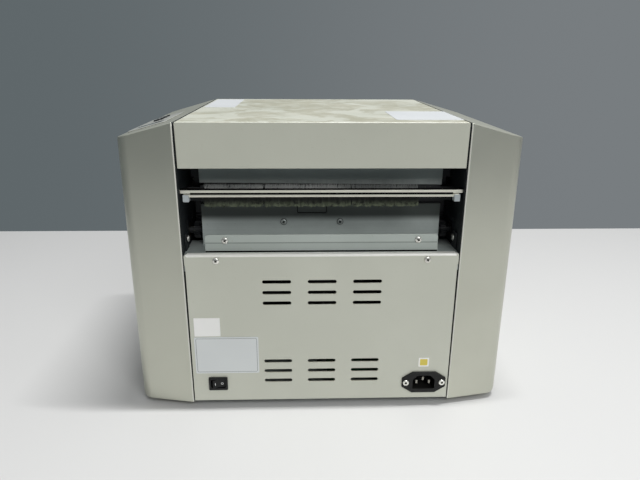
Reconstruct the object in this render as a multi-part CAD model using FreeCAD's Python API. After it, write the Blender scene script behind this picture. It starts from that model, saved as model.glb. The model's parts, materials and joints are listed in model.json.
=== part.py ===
import FreeCAD, Part
import math
import os

from FreeCAD import Vector

# Business card cutter for a desk, every piece a solid of its own, in millimetres.
# X runs across the machine, Y grows towards the rear face and Z up from the table.
# The origin is the bottom centre of the machine. Depths run forwards from the rear face.

# Whole machine
depth = 282.0
height = 313.0
core_half = 141.3
path_drop = 70.0
seat = 0.3
running = 0.05
overrun = 1.0
quarter_turn = 90.0
sheet = 1.5

# Side covers
cover_width = 60.2
cover_wall = 2.0
cover_base = 6.0
cover_rake = 10.8
cover_lean = 1.6
cover_corner = 16.0
cover_bottom_corner = 7.0
shoulder_drop = 16.8
shoulder_corner = 3.0
post_radius = 6.0
post_setback = 24.0
post_low_z = 60.0
post_rear_drop = 115.0
post_front_rise = 9.0

# Base pan and feet
base_sheet = 2.0
base_lip = 12.0
base_wing = 10.0
base_wing_setback = 12.0
foot_radius = 11.0
foot_inset = 28.0
foot_taper = 1.5

# Side frames and stays
frame_sheet = 2.0
frame_setback = 3.0
frame_top_gap = 4.5
window_setoffs = (-6.0, 1.0, 26.0)
window_rises = (2.0, 23.0, 29.5)
stay_radius = 4.0
front_stay_setback = 14.0
front_stay_drop = 16.0
middle_stay_depth = 145.0
middle_stay_drop = 38.0
low_stay_gap = 6.0
low_stay_drop = 153.0

# Rear panel
panel_bottom = 8.6
panel_top_drop = 62.5
panel_step_height = 12.0
panel_step = 0.9
panel_corner = 3.0
panel_hem = 6.0
vent_length = 30.0
vent_width = 3.7
vent_pitch = 12.0
vent_column_pitch = 47.3
vent_low_z = 45.1
vent_high_drop = 42.6

# Screws
screw_head_radius = 3.5
screw_head_height = 1.8
screw_radius = 1.6
screw_length = 6.0
screw_recess = 0.9
screw_recess_width = 0.8
panel_screw_inset = 32.7
panel_screw_drop = 6.9
bracket_screw_inset = 20.4
bracket_screw_drop = 6.1
guide_screw_xs = (-20.0, 40.0)
guide_screw_drop = 38.5
shelf_screw_depth = 24.0
shelf_screw_rise = 9.5

# Shelf, its ears and the waste chute
shelf_flange = 16.0
shelf_flat = 52.0
chute_run = 60.0
chute_fall = 34.0
ear_depths = (14.0, 29.0)
ear_height = 19.0

# Card exit
bracket_inset = 21.3
bracket_depth = 9.0
bracket_rise = 19.6
bracket_fold_drop = 9.6
bracket_kick = 1.5
bracket_foot = 15.0
bracket_corner = 3.0
guide_plate_inset = 14.6
guide_plate_depth = 36.0
guide_plate_drop = 19.0
notch_xs = (-5.9, 25.8)
notch_depth = 7.8
notch_top_land = 2.5
sensor_margin = 6.5
sensor_thickness = 2.6
sensor_drop = 5.0
exit_plate_drop = 0.7
exit_plate_thickness = 3.3
exit_plate_start = 7.0
exit_plate_reach = 9.5
exit_tongue_setback = 1.5
exit_tongue_length = 1.7
exit_slit = 1.2
exit_bar_thickness = 2.9
exit_bar_depths = (8.0, 11.0)
exit_bar_end_gap = 3.0
clip_insets = (8.5, 2.5)
clip_height = 4.6
clip_back = 3.0
brush_insets = (44.3, 23.3)
brush_joints = ((-30.0, -28.5), (58.0, 59.5))
brush_thickness = 2.2
brush_drop = 9.0
fringe_height = 1.6
fringe_thickness = 1.6

# Paper path and guillotine
blade_setoff = 2.2
blade_thickness = 2.5
blade_inset = 14.3
blade_rise = 1.0
blade_slant = 2.5
blade_height = 20.0
blade_stroke = 8.0
clamp_thickness = 1.5
clamp_rises = (7.0, 30.0)
beam_inset = 5.3
beam_web = 6.0
beam_rises = (9.0, 30.0)
beam_flange = 8.0
beam_reach = 35.0
fixed_blade_thickness = 5.0
fixed_blade_height = 19.0
blade_gap = 0.1
blade_land = 0.2
carrier_depth = 28.0
carrier_drop = 3.0
carrier_height = 15.0
guide_post_radius = 4.0
guide_post_inset = 19.3
guide_post_setback = 22.0
guide_post_rise = 41.0

# Gear teeth and the blade drive
module = 1.0
tooth_tip = 0.85
tooth_root = 1.25
tooth_share = 0.4
tooth_tip_share = 0.2
tooth_root_share = 0.62
blade_shaft_setoff = 5.3
blade_shaft_rise = 14.0
shaft_radius = 4.0
shaft_reach = 2.6
rack_teeth = 16
rack_width = 6.0
rack_bar = 6.0
rack_below = 4.0
blade_gear_teeth = 60
blade_pinion_teeth = 16
gear_width = 6.0
gear_setoff = 5.4
motor_radius = 17.0
motor_length = 42.0
motor_boss = 8.0
motor_shaft_radius = 2.5
motor_bore = 14.0

# Feed and slitter
feed_setback = 92.0
feed_roller_radius = 10.0
pinch_radius = 8.0
roller_xs = (-70.0, 0.0, 70.0)
roller_width = 30.0
slitter_gap = 10.3
disc_radius = 14.0
disc_overlap = 1.0
disc_width = 2.0
disc_hub_radius = 8.0
disc_hub_width = 6.0
slit_xs = (-93.5, -2.5, 2.5, 93.5)
feed_motor_depth = 145.0
feed_motor_drop = 73.0
motor_pulley_radius = 8.0
pulley_width = 6.0
pulley_setoff = 4.0
belt_thickness = 1.5
belt_play = 0.1
bearing_radius = 8.0
bearing_flange = 0.7
bearing_flange_width = 1.2
bearing_width = 4.5

# Feed table and paper guides
table_sheet = 1.5
table_drop = 0.2
table_start = 76.0
table_front_gap = 2.0
slot_play = 3.0
paper_inset = 35.8
guide_length = 44.0
guide_front_gap = 6.0
guide_height = 13.0
guide_base = 20.0
guide_travel = 45.0
guide_key = 3.4
guide_key_drop = 5.0

# Top cover
hood_rise = 25.6
hood_gap = 0.3
hood_taper = 0.5
hood_corner = 2.0
pivot_depth = 10.0
pivot_drop = 11.0
pin_radius = 3.0
pin_head_radius = 4.5
pin_head = 1.5
pin_length = 8.0

# Front panel, tray and drawer
front_gap = 0.1
drawer_inset = 20.3
drawer_base = 23.0
drawer_top_drop = 102.0
drawer_gap = 1.0
drawer_wall = 2.0
drawer_front = 4.0
drawer_back_gap = 4.0
drawer_scoop = 20.0
drawer_side_inset = 3.0
rail_insets = (25.0, 5.0)
tray_inset = 29.3
tray_height = 66.0
tray_thickness = 3.0
tray_stand = 3.2
tray_pivot_stand = 5.0
tray_pivot_drop = 3.5
barrel_radius = 3.3
barrel_length = 28.0
tray_pin_radius = 2.0
tray_ear = 3.0
tray_ear_height = 9.0
tray_corner = 8.0
tray_scoop = 14.0

# Power switch
switch_inset = 28.1
switch_z = 30.4
switch_length = 20.5
switch_height = 15.6
switch_bezel = 2.0
switch_body_length = 17.6
switch_body_height = 12.4
switch_body_depth = 20.0
switch_corner = 1.2
pocket_half_length = 7.7
pocket_half_height = 5.0
pocket_depth = 7.0
rocker_half = 6.6
rocker_half_height = 4.6
rocker_nose = 3.2
rocker_valley = 2.3
rocker_keel = 2.5
rocker_keel_half = 6.0
rocker_tilt = 12.0
rocker_pivot_depth = 1.0
trunnion_radius = 1.0
trunnion_length = 1.2

# Mains inlet
inlet_inset = 27.9
inlet_z = 29.0
inlet_end = 4.35
inlet_height = 25.8
inlet_flange = 1.8
inlet_cut_x = 11.5
inlet_cut_z = 7.5
inlet_body_length = 27.0
inlet_body_height = 19.6
inlet_body_depth = 22.0
socket_length = 24.2
socket_height = 16.4
socket_cut = 5.0
socket_depth = 16.0
inlet_pin_width = 2.0
inlet_pin_height = 4.0
inlet_pin_length = 13.0
inlet_pin_pitch = 7.0
inlet_pin_offset = 2.0
inlet_screw_pitch = 40.0

# Electronics
supply_x = (4.0, 84.0)
supply_depths = (40.0, 104.0)
supply_height = 38.0
standoff_height = 8.0
standoff_radius = 3.0
standoff_inset = 6.0
board_x = (-86.0, -8.0)
board_depths = (30.0, 102.0)
board_thickness = 1.6
relay_size = 15.0
capacitor_radius = 6.0
capacitor_height = 20.0

# Control panel on the sloping top of the right side cover
console_inset = 24.5
console_setback = 90.0
console_width = 40.0
console_height = 104.0
console_proud = 1.0
console_depth = 8.0
console_lip = 2.0
console_corner = 4.0
display_width = 28.0
display_height = 18.0
display_rise = 32.0
display_thickness = 1.2
button_radius = 5.6
button_bore_gap = 0.2
button_proud = 1.4
button_travel = 1.2
button_depth = 4.0
button_drops = (4.0, 20.0, 36.0)

# Blank labels and plate
label_thickness = 0.3
plate_insets = (73.3, 4.8)
plate_heights = (43.0, 87.0)
white_insets = (33.3, 5.8)
white_heights = (88.0, 109.5)
small_reaches = (-4.6, 6.9)
small_heights = (48.0, 59.0)
top_rear_insets = (1.3, 68.3)
top_rear_depths = (19.0, 104.0)
top_front_insets = (41.3, 4.3)
top_front_setbacks = (132.0, 10.0)

# Sizes that follow from those above
path_z = height - path_drop
cover_half = core_half + cover_width
frame_inner = core_half + seat
frame_outer = frame_inner + frame_sheet
frame_top = height - frame_top_gap
base_z = cover_base + cover_wall
base_top = base_z + base_sheet
panel_top = path_z - panel_top_drop
shelf_top = panel_top - sheet
shelf_z = shelf_top - sheet
table_top = path_z - table_drop
table_z = table_top - table_sheet
front_reach = tray_pivot_stand + barrel_radius
tilt = math.radians(rocker_tilt)
rear_reach = rocker_nose * math.cos(tilt) + rocker_half * math.sin(tilt) - rocker_pivot_depth
rear_y = (depth + front_reach - rear_reach) / 2
rake = math.tan(math.radians(cover_rake))
shoulder = shoulder_drop / cover_width
exit_plate_depths = (exit_plate_start, exit_plate_start + exit_plate_reach)
blade_depth = guide_plate_depth + blade_setoff
blade_front = blade_depth + blade_thickness
blade_shaft_depth = blade_front + blade_shaft_setoff
slitter_depth = blade_front + beam_reach + disc_radius + slitter_gap
hood_face = path_drop - hood_rise
blade_half = core_half - blade_inset
blade_shaft_z = shelf_top + blade_shaft_rise
rack_radius = module * rack_teeth / 2
rack_pitch_depth = blade_shaft_depth + rack_radius
blade_gear_radius = module * blade_gear_teeth / 2
blade_pinion_radius = module * blade_pinion_teeth / 2
blade_motor_z = blade_shaft_z - blade_gear_radius - blade_pinion_radius
feed_z = path_z - feed_roller_radius
pinch_z = path_z + seat + pinch_radius
slitter_spacing = disc_radius * 2 - disc_overlap
slitter_low_z = path_z - slitter_spacing / 2
slitter_high_z = path_z + slitter_spacing / 2
slitter_gear_teeth = int(slitter_spacing / module)
tray_pivot_z = path_z - tray_pivot_drop
carrier_top = path_z - carrier_drop
exit_plate_z = path_z - exit_plate_drop
exit_bar_top = exit_plate_z - exit_slit
beam_half = core_half - beam_inset
beam_heights = [path_z + rise for rise in beam_rises]
clamp_heights = [path_z + rise for rise in clamp_rises]
rack_xs = (beam_half - rack_width, beam_half)
guide_post_x = core_half - guide_post_inset
guide_post_top = path_z + guide_post_rise
guide_plate_half = core_half - guide_plate_inset
guide_plate_top = path_z - guide_plate_drop
bracket_half = core_half - bracket_inset
bracket_top = shelf_top + bracket_rise
bracket_fold = bracket_top - bracket_fold_drop
clip_xs = [core_half - inset for inset in clip_insets]
paper_half = core_half - paper_inset
feed_depth = depth - feed_setback
feed_motor_z = path_z - feed_motor_drop
drawer_half = core_half - drawer_inset
drawer_top = path_z - drawer_top_drop
low_stay_depth = supply_depths[1] + low_stay_gap
drawer_back = low_stay_depth + stay_radius + drawer_back_gap
rail_xs = [drawer_half - inset for inset in rail_insets]
tray_half = core_half - tray_inset
switch_x = core_half - switch_inset
inlet_length = inlet_screw_pitch + inlet_end * 2
inlet_x = inlet_inset - core_half
console_x = cover_half - console_inset
panel_screw_x = core_half - panel_screw_inset
bracket_screw_x = bracket_half - bracket_screw_inset
bracket_screw_z = bracket_top - bracket_screw_drop
guide_screw_z = path_z - guide_screw_drop
shelf_screw_z = panel_top + shelf_screw_rise
vent_group_heights = (vent_low_z, panel_top - vent_high_drop)
window_depths = [guide_plate_depth + setoff for setoff in window_setoffs]
window_heights = [shelf_top + rise for rise in window_rises]
post_places = (
    (post_setback, post_low_z),
    (post_setback, path_z - post_rear_drop),
    (depth - post_setback, post_low_z),
    (depth - post_setback, path_z + post_front_rise),
)
stay_places = (
    (depth - front_stay_setback, path_z - front_stay_drop),
    (middle_stay_depth, path_z - middle_stay_drop),
    (low_stay_depth, path_z - low_stay_drop),
)
brush_xs = (
    (brush_insets[0] - core_half, brush_joints[0][0]),
    (brush_joints[0][1], brush_joints[1][0]),
    (brush_joints[1][1], core_half - brush_insets[1]),
)


def deep(d):
    """The Y of a place d forwards of the rear face."""
    return rear_y - d


def depths(near, far):
    """A (low, high) pair in Y for a piece between two depths."""
    return (deep(far), deep(near))


def about(centre, size):
    """A (low, high) pair of this size about a centre."""
    return (centre - size / 2, centre + size / 2)


def both(half):
    """A (low, high) pair about the middle plane."""
    return (-half, half)


def grown(pair, margin):
    """A (low, high) pair with a margin added at both ends."""
    return (pair[0] - margin, pair[1] + margin)


def box(x, y, z):
    """A block from its (low, high) pairs along the three axes."""
    corner = Vector(x[0], y[0], z[0])
    return Part.makeBox(x[1] - x[0], y[1] - y[0], z[1] - z[0], corner)


def rod_x(y, z, radius, x):
    """A round rod along X."""
    return Part.makeCylinder(radius, x[1] - x[0], Vector(x[0], y, z), Vector(1, 0, 0))


def rod_y(x, z, radius, y):
    """A round rod along Y."""
    return Part.makeCylinder(radius, y[1] - y[0], Vector(x, y[0], z), Vector(0, 1, 0))


def rod_z(x, y, radius, z):
    """A round rod along Z."""
    return Part.makeCylinder(radius, z[1] - z[0], Vector(x, y, z[0]), Vector(0, 0, 1))


def fused(shapes):
    """One solid from pieces that meet."""
    first, *rest = shapes
    return first.fuse(rest).removeSplitter() if rest else first


def group(shapes):
    """Separate solids kept together as one sub-part."""
    return Part.makeCompound(list(shapes))


def mirrored(shape):
    """The same piece on the other side of the machine."""
    return shape.mirror(Vector(0, 0, 0), Vector(1, 0, 0))


def in_pairs(shape):
    """A piece and its mirror image across the machine."""
    return [shape, mirrored(shape)]


def outline(points, radii):
    """A closed outline in the XY plane, with each corner rounded by its radius."""
    edges = []
    count = len(points)
    ends = []
    for i, point in enumerate(points):
        here = Vector(*point)
        back = (Vector(*points[i - 1]) - here).normalize()
        ahead = (Vector(*points[(i + 1) % count]) - here).normalize()
        if radii[i] == 0:
            ends.append((here, here, here))
            continue
        half = back.getAngle(ahead) / 2
        reach = radii[i] / math.tan(half)
        middle = (back + ahead).normalize() * (radii[i] / math.sin(half) - radii[i])
        ends.append((here + back * reach, here + middle, here + ahead * reach))
    for i, (enter, middle, leave) in enumerate(ends):
        if enter != leave:
            edges.append(Part.Arc(enter, middle, leave).toShape())
        following = ends[(i + 1) % count][0]
        edges.append(Part.LineSegment(leave, following).toShape())
    return Part.Wire(edges)


def plate_xy(points, radii, z):
    """An outline in X and Y, raised from one height to another."""
    face = Part.Face(outline(points, radii))
    face.translate(Vector(0, 0, z[0]))
    return face.extrude(Vector(0, 0, z[1] - z[0]))


def plate_xz(points, radii, y):
    """An outline in X and Z, thickened along Y."""
    face = Part.Face(outline(points, radii))
    face.rotate(Vector(0, 0, 0), Vector(1, 0, 0), 90)
    face.translate(Vector(0, y[0], 0))
    return face.extrude(Vector(0, y[1] - y[0], 0))


def strip_yz(points, x):
    """A profile of depths and heights, drawn out along X."""
    corners = [Vector(x[0], deep(d), z) for d, z in points]
    face = Part.Face(Part.makePolygon(corners + corners[:1]))
    return face.extrude(Vector(x[1] - x[0], 0, 0))


def rectangle(x, z):
    """The corners of an upright rectangle."""
    return [(x[0], z[0]), (x[1], z[0]), (x[1], z[1]), (x[0], z[1])]


def gear_x(y, z, teeth, x, turn_share):
    """A spur gear about an axis along X, turned by a share of one tooth pitch."""
    radius = module * teeth / 2
    pitch = 2 * math.pi / teeth
    points = []
    for i in range(teeth):
        centre = (i + turn_share) * pitch
        corners = (
            (radius - tooth_root * module, -tooth_root_share),
            (radius + tooth_tip * module, -tooth_tip_share),
            (radius + tooth_tip * module, tooth_tip_share),
            (radius - tooth_root * module, tooth_root_share),
        )
        for reach, share in corners:
            angle = centre + share * tooth_share * pitch
            points.append(Vector(x[0], y + reach * math.cos(angle), z + reach * math.sin(angle)))
    face = Part.Face(Part.makePolygon(points + points[:1]))
    return face.extrude(Vector(x[1] - x[0], 0, 0))


def screw(place, out):
    """A pan head screw whose head rises along out from its seat, with a cross recess."""
    inward = out * -1
    head = Part.makeCylinder(screw_head_radius, screw_head_height, place, out)
    rim = [edge for edge in head.Edges if (edge.CenterOfMass - place).dot(out) > screw_head_height / 2]
    rim = [edge for edge in rim if edge.Curve.TypeId == "Part::GeomCircle"]
    head = head.makeFillet(screw_head_height / 2, rim)
    shank = Part.makeCylinder(screw_radius, screw_length, place, inward)
    arm = (screw_head_radius, screw_recess_width, screw_recess)
    turn = FreeCAD.Rotation(Vector(0, 0, 1), out)
    foot = place + out * (screw_head_height - screw_recess)
    shape = head.fuse(shank)
    for length, thickness in ((arm[0], arm[1]), (arm[1], arm[0])):
        slot = Part.makeBox(length, thickness, screw_recess + overrun)
        slot.translate(Vector(-length / 2, -thickness / 2, 0))
        slot.Placement = FreeCAD.Placement(foot, turn).multiply(slot.Placement)
        shape = shape.cut(slot)
    return shape


def shank_hole(place, out):
    """The hole that a screw's shank fills."""
    return Part.makeCylinder(screw_radius, screw_length, place, out * -1)


def rearward():
    """The way out of the rear face."""
    return Vector(0, 1, 0)


def panel_screw_places():
    """Seats of the two screws at the top of the rear panel."""
    z = panel_top - panel_screw_drop
    return [(Vector(side * panel_screw_x, rear_y, z), rearward()) for side in (-1, 1)]


def bracket_screw_places():
    """Seats of the two screws on the card tray bracket."""
    y = deep(bracket_depth)
    return [(Vector(side * bracket_screw_x, y, bracket_screw_z), rearward()) for side in (-1, 1)]


def guide_screw_places():
    """Seats of the two screws that hold the exit sensor."""
    y = deep(guide_plate_depth)
    return [(Vector(x, y, guide_screw_z), rearward()) for x in guide_screw_xs]


def shelf_screw_places():
    """Seats of the screws through the shelf's ears into the side frames."""
    x = frame_inner - sheet
    y = deep(shelf_screw_depth)
    return [(Vector(side * x, y, shelf_screw_z), Vector(-side, 0, 0)) for side in (-1, 1)]


def cover_screw_places():
    """Seats of the screws that hold the side covers' posts to the frames."""
    return [
        (Vector(side * frame_inner, deep(d), z), Vector(-side, 0, 0))
        for side in (-1, 1)
        for d, z in post_places
    ]


def inlet_screw_places():
    """Seats of the two screws in the mains inlet's flange."""
    y = rear_y + inlet_flange
    half = inlet_screw_pitch / 2
    return [(Vector(inlet_x + side * half, y, inlet_z), rearward()) for side in (-1, 1)]


def screw_places():
    """Seats and directions of all the pan head screws."""
    places = panel_screw_places() + bracket_screw_places() + guide_screw_places()
    return places + shelf_screw_places() + cover_screw_places() + inlet_screw_places()


def drilled(shape, places):
    """A piece with the shank holes of these screws."""
    return shape.cut([shank_hole(place, out) for place, out in places])


def panel_screws():
    return group(screw(place, out) for place, out in screw_places())


def shoulder_z(x):
    """The height of the side cover's sloping top."""
    return height - (x - core_half) * shoulder


def cover_form(inset):
    """The outer form of the right side cover, or its hollow when inset by the wall."""
    inner = core_half - overrun if inset else core_half
    outer = cover_half - inset
    lean = inset / math.cos(math.radians(cover_rake))

    def rear_depth(x):
        return (x - core_half) * rake + lean

    plan = [
        (inner, deep(rear_depth(inner))),
        (inner, deep(depth - rear_depth(inner))),
        (outer, deep(depth - rear_depth(outer))),
        (outer, deep(rear_depth(outer))),
    ]
    round_corner = cover_corner - inset
    upright = plate_xy(plan, (0, 0, round_corner, round_corner), (0, height))
    fall = inset * math.sqrt(1 + shoulder**2)

    leaning = inner + cover_lean
    face = [
        (inner, cover_base + inset),
        (outer, cover_base + inset),
        (outer, shoulder_z(outer) - fall),
        (leaning, shoulder_z(leaning) - fall),
    ]
    low_corner = cover_bottom_corner - inset
    high_corner = shoulder_corner - inset
    across = plate_xz(face, (0, low_corner, high_corner, 0), depths(-overrun, depth + overrun))
    return upright.common(across)


def side_cover():
    """The right side cover as a wall of sheet, with the posts that its screws reach."""
    form = cover_form(0)
    shell = form.cut(cover_form(cover_wall))
    reach = (frame_outer, cover_half - cover_wall / 2)
    posts = [rod_x(deep(d), z, post_radius, reach).common(form) for d, z in post_places]
    shell = fused([shell] + posts)
    return drilled(shell, [(place, out) for place, out in cover_screw_places() if place.x > 0])


def side_cover_right():
    shell = side_cover()
    width_cut = console_width - console_lip * 2 + seat * 2
    height_cut = console_height - console_lip * 2 + seat * 2
    cut = box(about(0, width_cut), both(console_depth), about(0, height_cut))
    return shell.cut(on_console(cut))


def side_cover_left():
    return mirrored(side_cover())


def base_pan():
    middle = box(both(core_half - seat), depths(sheet + seat, depth - sheet - seat), (base_z, base_top))
    wings = box(
        both(frame_outer + base_wing),
        depths(base_wing_setback, depth - base_wing_setback),
        (base_z, base_top),
    )
    lips = [
        box(both(core_half - base_wing), depths(near, near + base_sheet), (base_top, base_top + base_lip))
        for near in (sheet + seat, depth - sheet - seat - base_sheet)
    ]
    pan = fused([middle, wings] + lips)
    switch_gap = box(
        about(inlet_x, inlet_length),
        depths(0, base_sheet + sheet + seat + overrun),
        (base_top, base_top + base_lip + overrun),
    )
    return pan.cut(switch_gap)


def rubber_feet():
    x = core_half - foot_inset
    feet = []
    for d in (foot_inset, depth - foot_inset):
        place = Vector(x, deep(d), 0)
        foot = Part.makeCone(foot_radius - foot_taper, foot_radius, base_z, place, Vector(0, 0, 1))
        feet += in_pairs(foot)
    return group(feet)


def bearing_places():
    """The shafts' axes as depths and heights."""
    return (
        (feed_depth, feed_z),
        (feed_depth, pinch_z),
        (slitter_depth, slitter_low_z),
        (slitter_depth, slitter_high_z),
        (blade_shaft_depth, blade_shaft_z),
    )


def frame_plate():
    """The right side frame before the holes that differ from side to side."""
    x = (frame_inner, frame_outer)
    plate = box(x, depths(frame_setback, depth - frame_setback), (base_top, frame_top))
    holes = [rod_x(deep(d), z, bearing_radius, grown(x, overrun)) for d, z in bearing_places()]
    near, middle, far = window_depths
    low, step, top = window_heights
    holes.append(box(grown(x, overrun), depths(near, middle), (low, top)))
    holes.append(box(grown(x, overrun), depths(near, far), (step, top)))
    tongue = box(
        grown(x, overrun),
        grown(exit_tongue_depths(), seat / 2),
        grown((exit_plate_z, exit_plate_z + exit_plate_thickness), seat / 2),
    )
    holes.append(tongue)
    pivot = rod_x(deep(pivot_depth), height - pivot_drop, pin_radius, grown(x, overrun))
    plate = plate.cut(holes + [pivot])
    side_screws = [p for p in shelf_screw_places() + cover_screw_places() if p[0].x > 0]
    return drilled(plate, side_screws)


def exit_tongue_depths():
    """The (low, high) pair in Y of the exit plate's end tongues."""
    return depths(exit_plate_depths[0] + exit_tongue_setback, exit_plate_depths[1] - exit_tongue_setback)


def side_frame_right():
    x = grown((frame_inner, frame_outer), overrun)
    return frame_plate().cut(rod_x(deep(feed_motor_depth), feed_motor_z, motor_boss, x))


def side_frame_left():
    x = grown((frame_inner, frame_outer), overrun)
    return mirrored(frame_plate().cut(rod_x(deep(blade_shaft_depth), blade_motor_z, motor_boss, x)))


def stay_rods():
    return group(rod_x(deep(d), z, stay_radius, both(frame_inner)) for d, z in stay_places)


def vent_slots():
    """The tools that cut the nine slots of each vent group."""
    straight = (vent_length - vent_width) / 2
    cuts = []
    for column in (-1, 0, 1):
        for middle in vent_group_heights:
            for row in (-1, 0, 1):
                x = column * vent_column_pitch
                z = middle + row * vent_pitch
                y = depths(-overrun, sheet + overrun)
                cuts.append(box(grown((x, x), straight), y, about(z, vent_width)))
                cuts += [rod_y(x + end * straight, z, vent_width / 2, y) for end in (-1, 1)]
    return cuts


def rear_panel():
    half = core_half - seat
    step = panel_top - panel_step_height
    points = [
        (-half + panel_step, panel_bottom),
        (half - panel_step, panel_bottom),
        (half - panel_step, step),
        (half, step),
        (half, panel_top),
        (-half, panel_top),
        (-half, step),
        (-half + panel_step, step),
    ]
    radii = (0, 0, 0, 0, panel_corner, panel_corner, 0, 0)
    panel = plate_xz(points, radii, depths(0, sheet))
    hem = box(both(half - panel_corner), depths(sheet / 2, panel_hem), (panel_top - sheet, panel_top))
    panel = fused([panel, hem])
    y = depths(-overrun, sheet + overrun)
    body = about(switch_x, switch_body_length), about(switch_z, switch_body_height)
    cuts = vent_slots()
    cuts.append(box(grown(body[0], seat), y, grown(body[1], seat)))
    socket = about(inlet_x, inlet_body_length), about(inlet_z, inlet_body_height)
    cuts.append(box(grown(socket[0], seat), y, grown(socket[1], seat)))
    return drilled(panel.cut(cuts), panel_screw_places() + inlet_screw_places())


def shelf_plate():
    half = frame_inner - seat
    near = sheet + seat / 3
    chute_end = shelf_flat + chute_run
    profile = [
        (near, shelf_z - shelf_flange),
        (near, shelf_top),
        (shelf_flat, shelf_top),
        (chute_end, shelf_top - chute_fall),
        (chute_end, shelf_z - chute_fall),
        (shelf_flat, shelf_z),
        (near + sheet, shelf_z),
        (near + sheet, shelf_z - shelf_flange),
    ]
    plate = strip_yz(profile, both(half))
    ear = box(
        (frame_inner - sheet, frame_inner),
        depths(*ear_depths),
        (shelf_z, shelf_top + ear_height),
    )
    plate = fused([plate] + in_pairs(ear))
    return drilled(plate, panel_screw_places() + shelf_screw_places())


def lower_guide_plate():
    far = guide_plate_depth + sheet
    wall = box(both(guide_plate_half), depths(guide_plate_depth, far), (shelf_top, guide_plate_top))
    foot = box(
        both(guide_plate_half),
        depths(guide_plate_depth, shelf_flat - seat),
        (shelf_top, shelf_top + sheet),
    )
    lip = box(
        both(guide_plate_half),
        depths(guide_plate_depth, blade_front + blade_gap - seat),
        (guide_plate_top - sheet, guide_plate_top),
    )
    notch_top = guide_plate_top - notch_top_land
    notch = plate_xz(
        rectangle(notch_xs, (notch_top - notch_depth, notch_top)),
        (sheet, sheet, 0, 0),
        depths(guide_plate_depth - overrun, far + overrun),
    )
    return drilled(fused([wall, foot, lip]).cut(notch), guide_screw_places())


def exit_sensor():
    near = guide_plate_depth + sheet
    x = (guide_screw_xs[0] - sensor_margin, guide_screw_xs[1] + sensor_margin)
    z = (guide_screw_z - sensor_drop, guide_plate_top - notch_top_land)
    body = box(x, depths(near, near + sensor_thickness), z)
    return drilled(body, guide_screw_places())


def rear_bracket():
    d = bracket_depth
    kick = d - bracket_kick
    profile = [
        (kick, shelf_top),
        (kick, shelf_top + sheet),
        (d, bracket_fold),
        (d, bracket_top),
        (d + sheet, bracket_top),
        (d + sheet, bracket_fold),
        (kick + sheet, shelf_top + sheet),
        (kick + bracket_foot, shelf_top + sheet),
        (kick + bracket_foot, shelf_top),
    ]
    bracket = strip_yz(profile, both(bracket_half))
    corners = plate_xz(
        rectangle(both(bracket_half), (shelf_top - overrun, bracket_top)),
        (0, 0, bracket_corner, bracket_corner),
        depths(0, d + bracket_foot + overrun),
    )
    return drilled(bracket.common(corners), bracket_screw_places())


def exit_guide_plate():
    z = (exit_plate_z, exit_plate_z + exit_plate_thickness)
    plate = box(both(core_half - seat), depths(*exit_plate_depths), z)
    tongues = box(both(frame_inner + exit_tongue_length), exit_tongue_depths(), z)
    return fused([plate, tongues])


def exit_guide_bar():
    z = (exit_bar_top - exit_bar_thickness, exit_bar_top)
    return box(both(core_half - exit_bar_end_gap), depths(*exit_bar_depths), z)


def guide_bar_clips():
    near, far = exit_bar_depths
    floor = exit_bar_top - exit_bar_thickness
    low = box(clip_xs, depths(near - sheet, far + clip_back), (floor - clip_height, floor))
    front = box(clip_xs, depths(near - sheet, near - seat), (floor - sheet, exit_bar_top - seat))
    back = box(clip_xs, depths(far + seat, far + clip_back), (floor - sheet, exit_plate_z))
    return group(in_pairs(fused([low, front, back])))


def exit_brushes():
    near = exit_bar_depths[0]
    floor = exit_bar_top - exit_bar_thickness
    far = near + brush_thickness
    hanging = [box(x, depths(near, far), (floor - brush_drop, floor)) for x in brush_xs]
    fringe_z = exit_plate_z + exit_plate_thickness
    edge = exit_plate_depths[1]
    fringe = [
        box(x, depths(edge - fringe_thickness, edge), (fringe_z, fringe_z + fringe_height))
        for x in brush_xs
    ]
    return group(hanging + fringe)


def moving_blade():
    z = path_z + blade_rise
    points = [
        (-blade_half, z),
        (blade_half, z + blade_slant),
        (blade_half, z + blade_height),
        (-blade_half, z + blade_height),
    ]
    return plate_xz(points, (0, 0, 0, 0), depths(blade_depth, blade_front))


def blade_clamp():
    y = depths(blade_depth - clamp_thickness, blade_depth)
    return box(both(blade_half), y, clamp_heights)


def rack(x):
    """A toothed bar that hangs from the beam and meets the blade shaft's pinion."""
    pitch = math.pi * module
    root = rack_pitch_depth + tooth_root * module
    low = blade_shaft_z - rack_below
    top = beam_heights[1] - beam_flange
    bar = [box(x, depths(root, root + rack_bar), (low, top))]
    tip = rack_pitch_depth - tooth_tip * module
    wide = tooth_root_share * tooth_share * pitch
    narrow = tooth_tip_share * tooth_share * pitch
    above = blade_stroke + rack_below * 2
    for i in range(-int(rack_below / pitch), int(above / pitch) + 1):
        centre = blade_shaft_z + i * pitch
        profile = [
            (root + seat, centre - wide),
            (tip, centre - narrow),
            (tip, centre + narrow),
            (root + seat, centre + wide),
        ]
        bar.append(strip_yz(profile, x))
    return fused(bar)


def blade_beam():
    web = box(both(beam_half), depths(blade_front, blade_front + beam_web), beam_heights)
    flange = box(
        both(beam_half),
        depths(blade_front, blade_front + beam_reach),
        (beam_heights[1] - beam_flange, beam_heights[1]),
    )
    beam = fused([web, flange] + in_pairs(rack(rack_xs)))
    return beam.cut(in_pairs(guide_post(running)))


def guide_post(play):
    """The right guide post, grown all round by play."""
    z = (carrier_top, guide_post_top + play)
    return rod_z(guide_post_x, deep(guide_post_depth()), guide_post_radius + play, z)


def guide_post_depth():
    """The depth of the guide posts' axes."""
    return blade_front + guide_post_setback


def blade_guide_posts():
    return group(in_pairs(guide_post(0)))


def fixed_blade():
    near = blade_front + blade_gap
    z = (path_z - blade_land - fixed_blade_height, path_z - blade_land)
    return box(both(guide_plate_half), depths(near, near + fixed_blade_thickness), z)


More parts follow.
